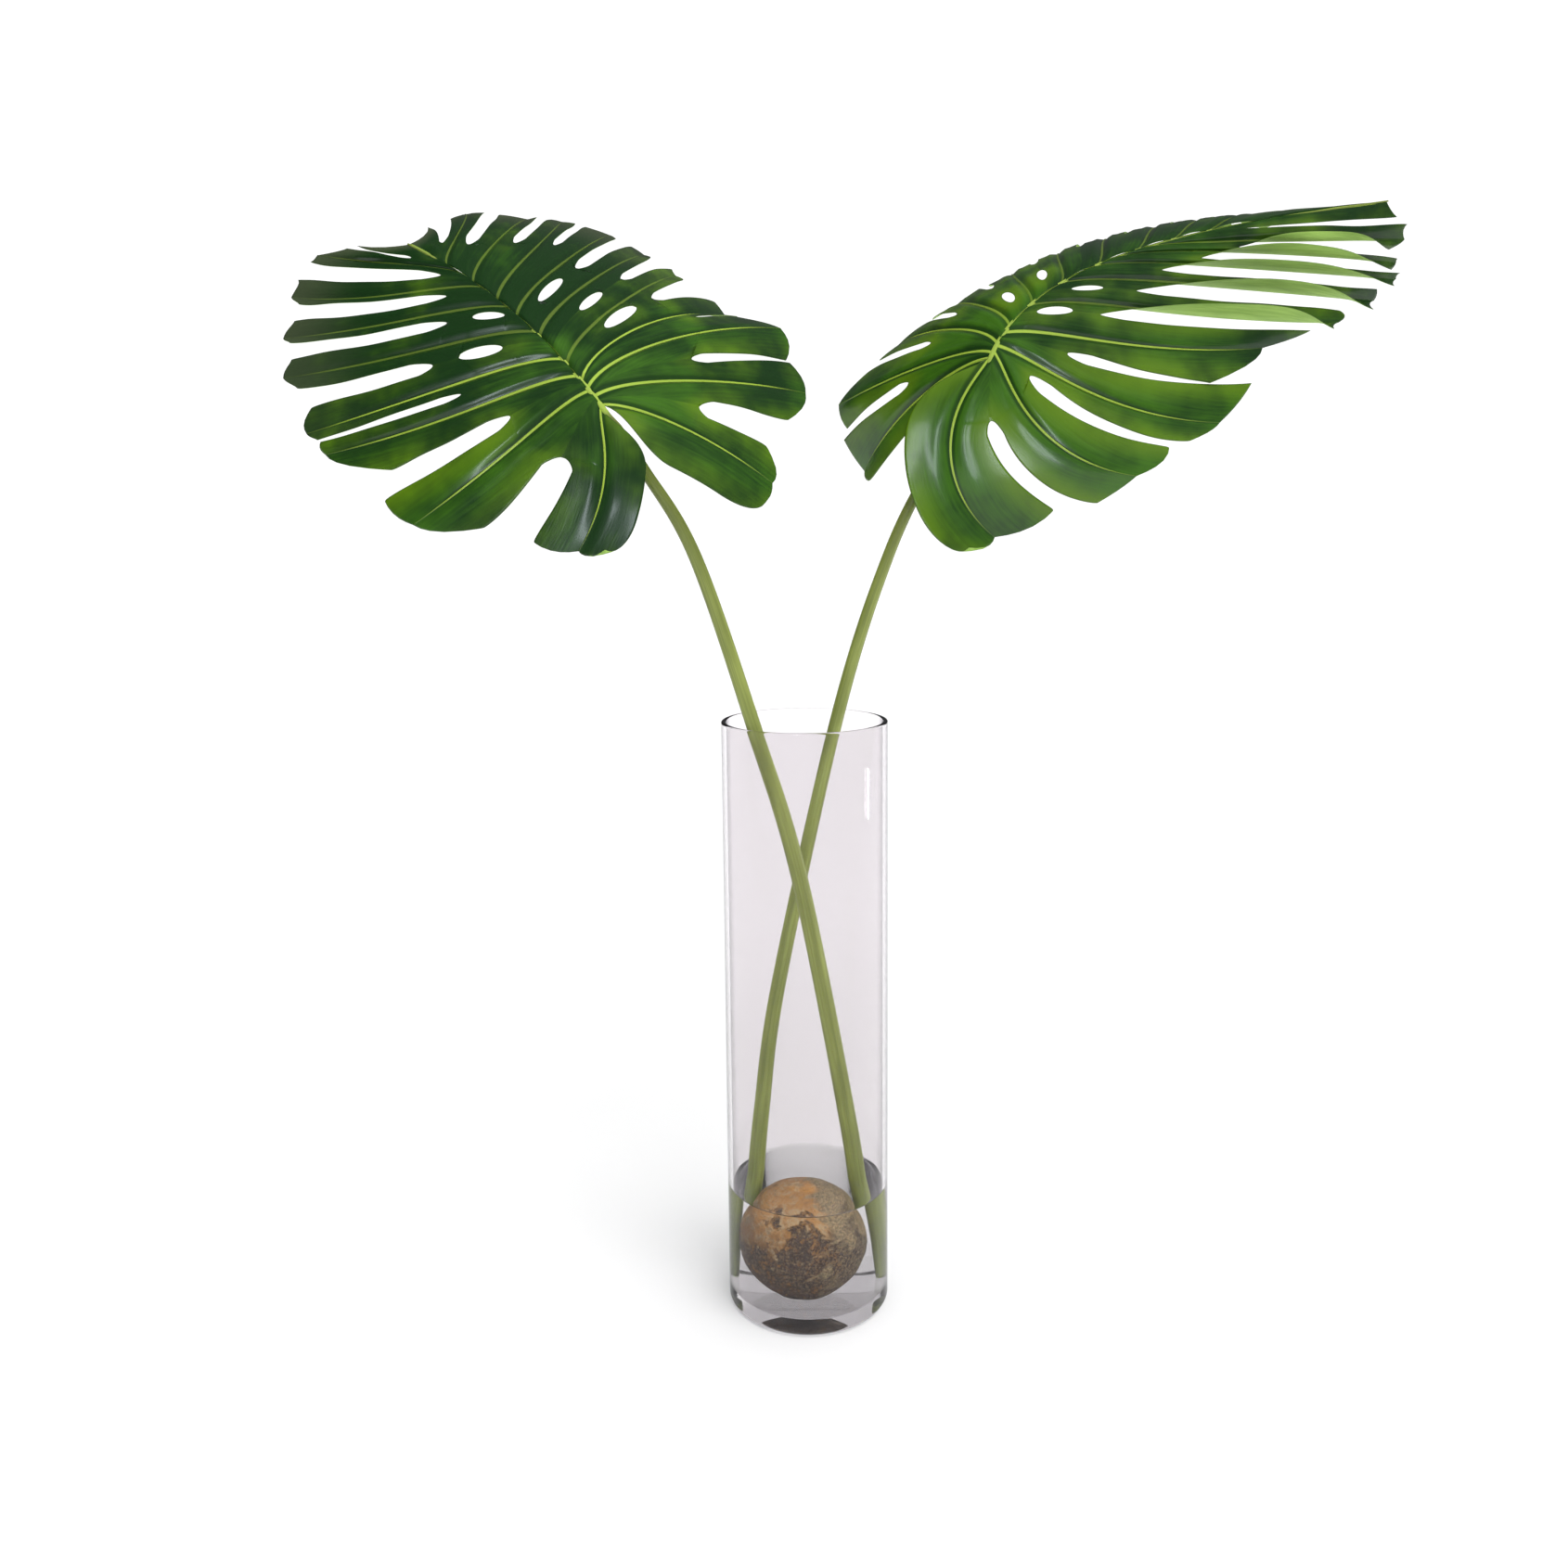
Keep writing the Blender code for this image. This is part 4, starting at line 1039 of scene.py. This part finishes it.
def make_stalk(leaf, midrib, material):
    """The petiole, with a shallow groove on its upper side, running on as the midrib."""
    sides = 28
    petiole = smooth_path([np.array(p) * MM for p in leaf.stalk], 16)
    count = len(petiole)
    rib = midrib.points[1:]
    over = midrib.points[-1] + midrib.frames[-1][:, 0] * 2 * MM
    path = np.vstack([petiole, rib, [over]])
    foot, top, end = leaf.stalk_radii
    share = np.linspace(0, 1, count)
    on = np.linspace(0, 1, len(rib) + 1)
    knee = 1 + 0.1 * np.exp(-((share - 0.955) / 0.022) ** 2)
    slim = 1 - 0.38 * smooth_step(share, 0.95, 1.0)
    radii = np.concatenate([(foot + (top - foot) * share) * knee * slim,
                            end * 0.8 + (top * 0.62 - end * 0.8) * (1 - on) ** 1.2]) * MM
    flat = np.concatenate([smooth_step(share, 0.96, 1.0) * 0.5, np.full(len(on), 0.5)])
    pale = np.concatenate([smooth_step(share, 0.985, 1.0) * 0.8, 0.9 - 0.7 * on])
    tangents = np.gradient(path, axis=0)
    tangents /= np.linalg.norm(tangents, axis=1, keepdims=True)
    tangents[0] = (0, 0, 1)
    up = midrib.frames[0][:, 2]
    ups = np.vstack([np.tile(up, (count, 1)), midrib.frames[1:, :, 2], [midrib.frames[-1][:, 2]]])
    reach = np.concatenate([[0], np.cumsum(np.linalg.norm(np.diff(path, axis=0), axis=1))])
    points, facts, faces = [], [], [tuple(reversed(range(sides)))]
    for ring, centre in enumerate(path):
        high = ups[ring] - tangents[ring] * ups[ring].dot(tangents[ring])
        high /= np.linalg.norm(high)
        wide = np.cross(tangents[ring], high)
        for i in range(sides):
            angle = math.tau * i / sides
            turn = min(angle, math.tau - angle)
            groove = math.exp(-(turn / 0.45) ** 2) * (1 - flat[ring] * 2)
            shape = 1 - 0.07 * groove + 0.02 * math.exp(-((turn - 0.85) / 0.22) ** 2) * (1 - flat[ring] * 2)
            rise = math.cos(angle) * (1 - (flat[ring] if math.cos(angle) > 0 else 0))
            points.append(centre + radii[ring] * shape * (rise * high + math.sin(angle) * wide))
            facts.append((reach[ring], (turn if angle < math.pi else -turn) * 5 * MM, 0.7, groove, 1, 0,
                          pale[ring], 0, 0))
    for ring in range(len(path) - 1):
        for i in range(sides):
            a, b = ring * sides + i, ring * sides + (i + 1) % sides
            faces.append((a, b, b + sides, a + sides))
    faces.append(tuple(range((len(path) - 1) * sides, len(path) * sides)))
    add_leaf_piece(leaf.name + "_stalk", leaf.name, points, faces, np.array(facts), material)


class MONSTERA_OT_leaves(bpy.types.Operator):
    """Draws both leaves: petiole and midrib as one tapering piece, and the blade with its lobes"""
    bl_idname = "monstera.leaves"
    bl_label = "Leaves"

    def execute(self, context):
        s = context.scene.monstera_leaf
        green, stalk_green = blade_material(s), stalk_material(s)
        for seed, leaf in ((11, LEFT_LEAF), (29, RIGHT_LEAF)):
            midrib = Midrib(leaf)
            make_blade(leaf, midrib, s, seed, green)
            make_stalk(leaf, midrib, stalk_green)
        return {"FINISHED"}


def add_light(name, kind, settings, place, target, glossy=True, diffuse=True):
    """A light that faces a target."""
    data = bpy.data.lights.new(name, kind)
    for key, value in settings.items():
        setattr(data, key, value)
    light = bpy.data.objects.new(name, data)
    bpy.context.scene.collection.objects.link(light)
    light.location = place
    light.rotation_euler = (Vector(target) - Vector(place)).to_track_quat("-Z", "Y").to_euler()
    light.visible_glossy = glossy
    light.visible_diffuse = diffuse
    return light


class MONSTERA_OT_stage(bpy.types.Operator):
    """Sets the pale floor, the soft light and the camera"""
    bl_idname = "monstera.stage"
    bl_label = "Stage"

    CAMERA_PLACE = (-0.018, -1.192, 0.739)
    CAMERA_DOWN = 7.57
    CAMERA_ROLL = 0.55
    FOCAL = 1446            # in pixels of a frame 1690 wide
    FRAME = 1690
    SHIFT = 102             # pixels from the frame's middle up to the optical axis
    FLOOR_GAP = 0.4 * MM    # keeps the floor just clear of the glass

    def execute(self, context):
        s = context.scene.monstera_stage
        self.make_floor(s)
        context.scene.world = self.make_world(s)
        middle = (0, 0, 0.6)
        add_light("key", "SUN", {"energy": s.key, "angle": math.radians(45)}, (1.3, -1.5, 2.6), middle,
                  glossy=False)
        add_light("ceiling", "SUN", {"energy": s.ceiling, "angle": math.radians(75)}, (0, -0.3, 3), middle,
                  glossy=False)
        add_light("window", "AREA", {"energy": s.window, "shape": "RECTANGLE", "size": 0.35, "size_y": 1.6,
                                     "color": (0.86, 0.94, 1.0)}, (-0.7, -3.2, 1.5), middle, diffuse=False)
        add_light("strip", "AREA", {"energy": s.window * 0.08, "shape": "RECTANGLE", "size": 0.1,
                                    "size_y": 0.1}, (1.5, 0.1, 0.18), (0, 0, 0.5), diffuse=False)
        self.make_camera(context.scene)
        context.scene.view_settings.view_transform = "Standard"
        return {"FINISHED"}

    def make_floor(self, s):
        bpy.ops.object.select_all(action="DESELECT")
        bpy.ops.mesh.primitive_plane_add(size=60, location=(0, 0, -self.FLOOR_GAP))
        floor = bpy.context.active_object
        floor.name = "floor"
        recipe = Recipe("paper")
        fibres = recipe.noise(recipe.place(), 60, 3, 0.5)
        paper = recipe.principled({"Base Color": s.paper, "Roughness": 0.8, "Specular IOR Level": 0.2,
                                   "Normal": recipe.bump(fibres, 0.2 * MM, 0.1)})
        floor.data.materials.append(recipe.surface(paper))

    def make_world(self, s):
        """White behind the object; for its light, brighter on the right, and dim in gloss."""
        recipe = Recipe("studio", world=True)
        way = recipe.node("ShaderNodeTexCoord").outputs["Generated"]
        side = recipe.step(recipe.axis(way, "X"), -0.9, 0.9, s.sky_left, s.sky_right)
        through = recipe.math("MINIMUM", recipe.ray("Transmission Depth"), 1.0)
        level = side * (1.0 - recipe.ray("Is Glossy Ray") * 0.78)
        level = level + through * (0.9 - level)
        around = recipe.node("ShaderNodeBackground", inputs={"Color": (0.98, 0.97, 1.0), "Strength": level})
        behind = recipe.node("ShaderNodeBackground", inputs={"Color": (1, 1, 1), "Strength": 1.1})
        mixed = recipe.blend(recipe.ray("Is Camera Ray"), around.outputs[0], behind.outputs[0])
        return recipe.surface(mixed)

    def make_camera(self, scene):
        data = bpy.data.cameras.new("camera")
        data.sensor_fit = "HORIZONTAL"
        data.sensor_width = 36
        data.lens = 36 * self.FOCAL / self.FRAME
        data.shift_y = -self.SHIFT / self.FRAME
        camera = bpy.data.objects.new("camera", data)
        scene.collection.objects.link(camera)
        turn = (Matrix.Rotation(math.radians(90 - self.CAMERA_DOWN), 4, "X")
                @ Matrix.Rotation(math.radians(-self.CAMERA_ROLL), 4, "Z"))
        camera.matrix_world = Matrix.Translation(self.CAMERA_PLACE) @ turn
        scene.camera = camera


class MONSTERA_PT_panel(bpy.types.Panel):
    """Lists the pieces of the arrangement"""
    bl_idname = "MONSTERA_PT_panel"
    bl_label = "Monstera arrangement"
    bl_space_type = "VIEW_3D"
    bl_region_type = "UI"
    bl_category = "Monstera"

    def draw(self, context):
        for operator in OPERATORS:
            self.layout.operator(operator.bl_idname)


SETTINGS = {"monstera_vase": VaseSettings, "monstera_water": WaterSettings, "monstera_stone": StoneSettings,
            "monstera_leaf": LeafSettings, "monstera_stage": StageSettings}
OPERATORS = (MONSTERA_OT_vase, MONSTERA_OT_water, MONSTERA_OT_stone, MONSTERA_OT_leaves, MONSTERA_OT_stage)


def register():
    for group in (*SETTINGS.values(), *OPERATORS, MONSTERA_PT_panel):
        bpy.utils.register_class(group)
    for name, group in SETTINGS.items():
        setattr(bpy.types.Scene, name, PointerProperty(type=group))


def unregister():
    for name in SETTINGS:
        delattr(bpy.types.Scene, name)
    for group in (MONSTERA_PT_panel, *OPERATORS, *SETTINGS.values()):
        bpy.utils.unregister_class(group)


def main():
    register()
    bpy.ops.monstera.vase()
    bpy.ops.monstera.water()
    bpy.ops.monstera.stone()
    bpy.ops.monstera.leaves()
    bpy.ops.monstera.stage()


if __name__ == "__main__":
    main()
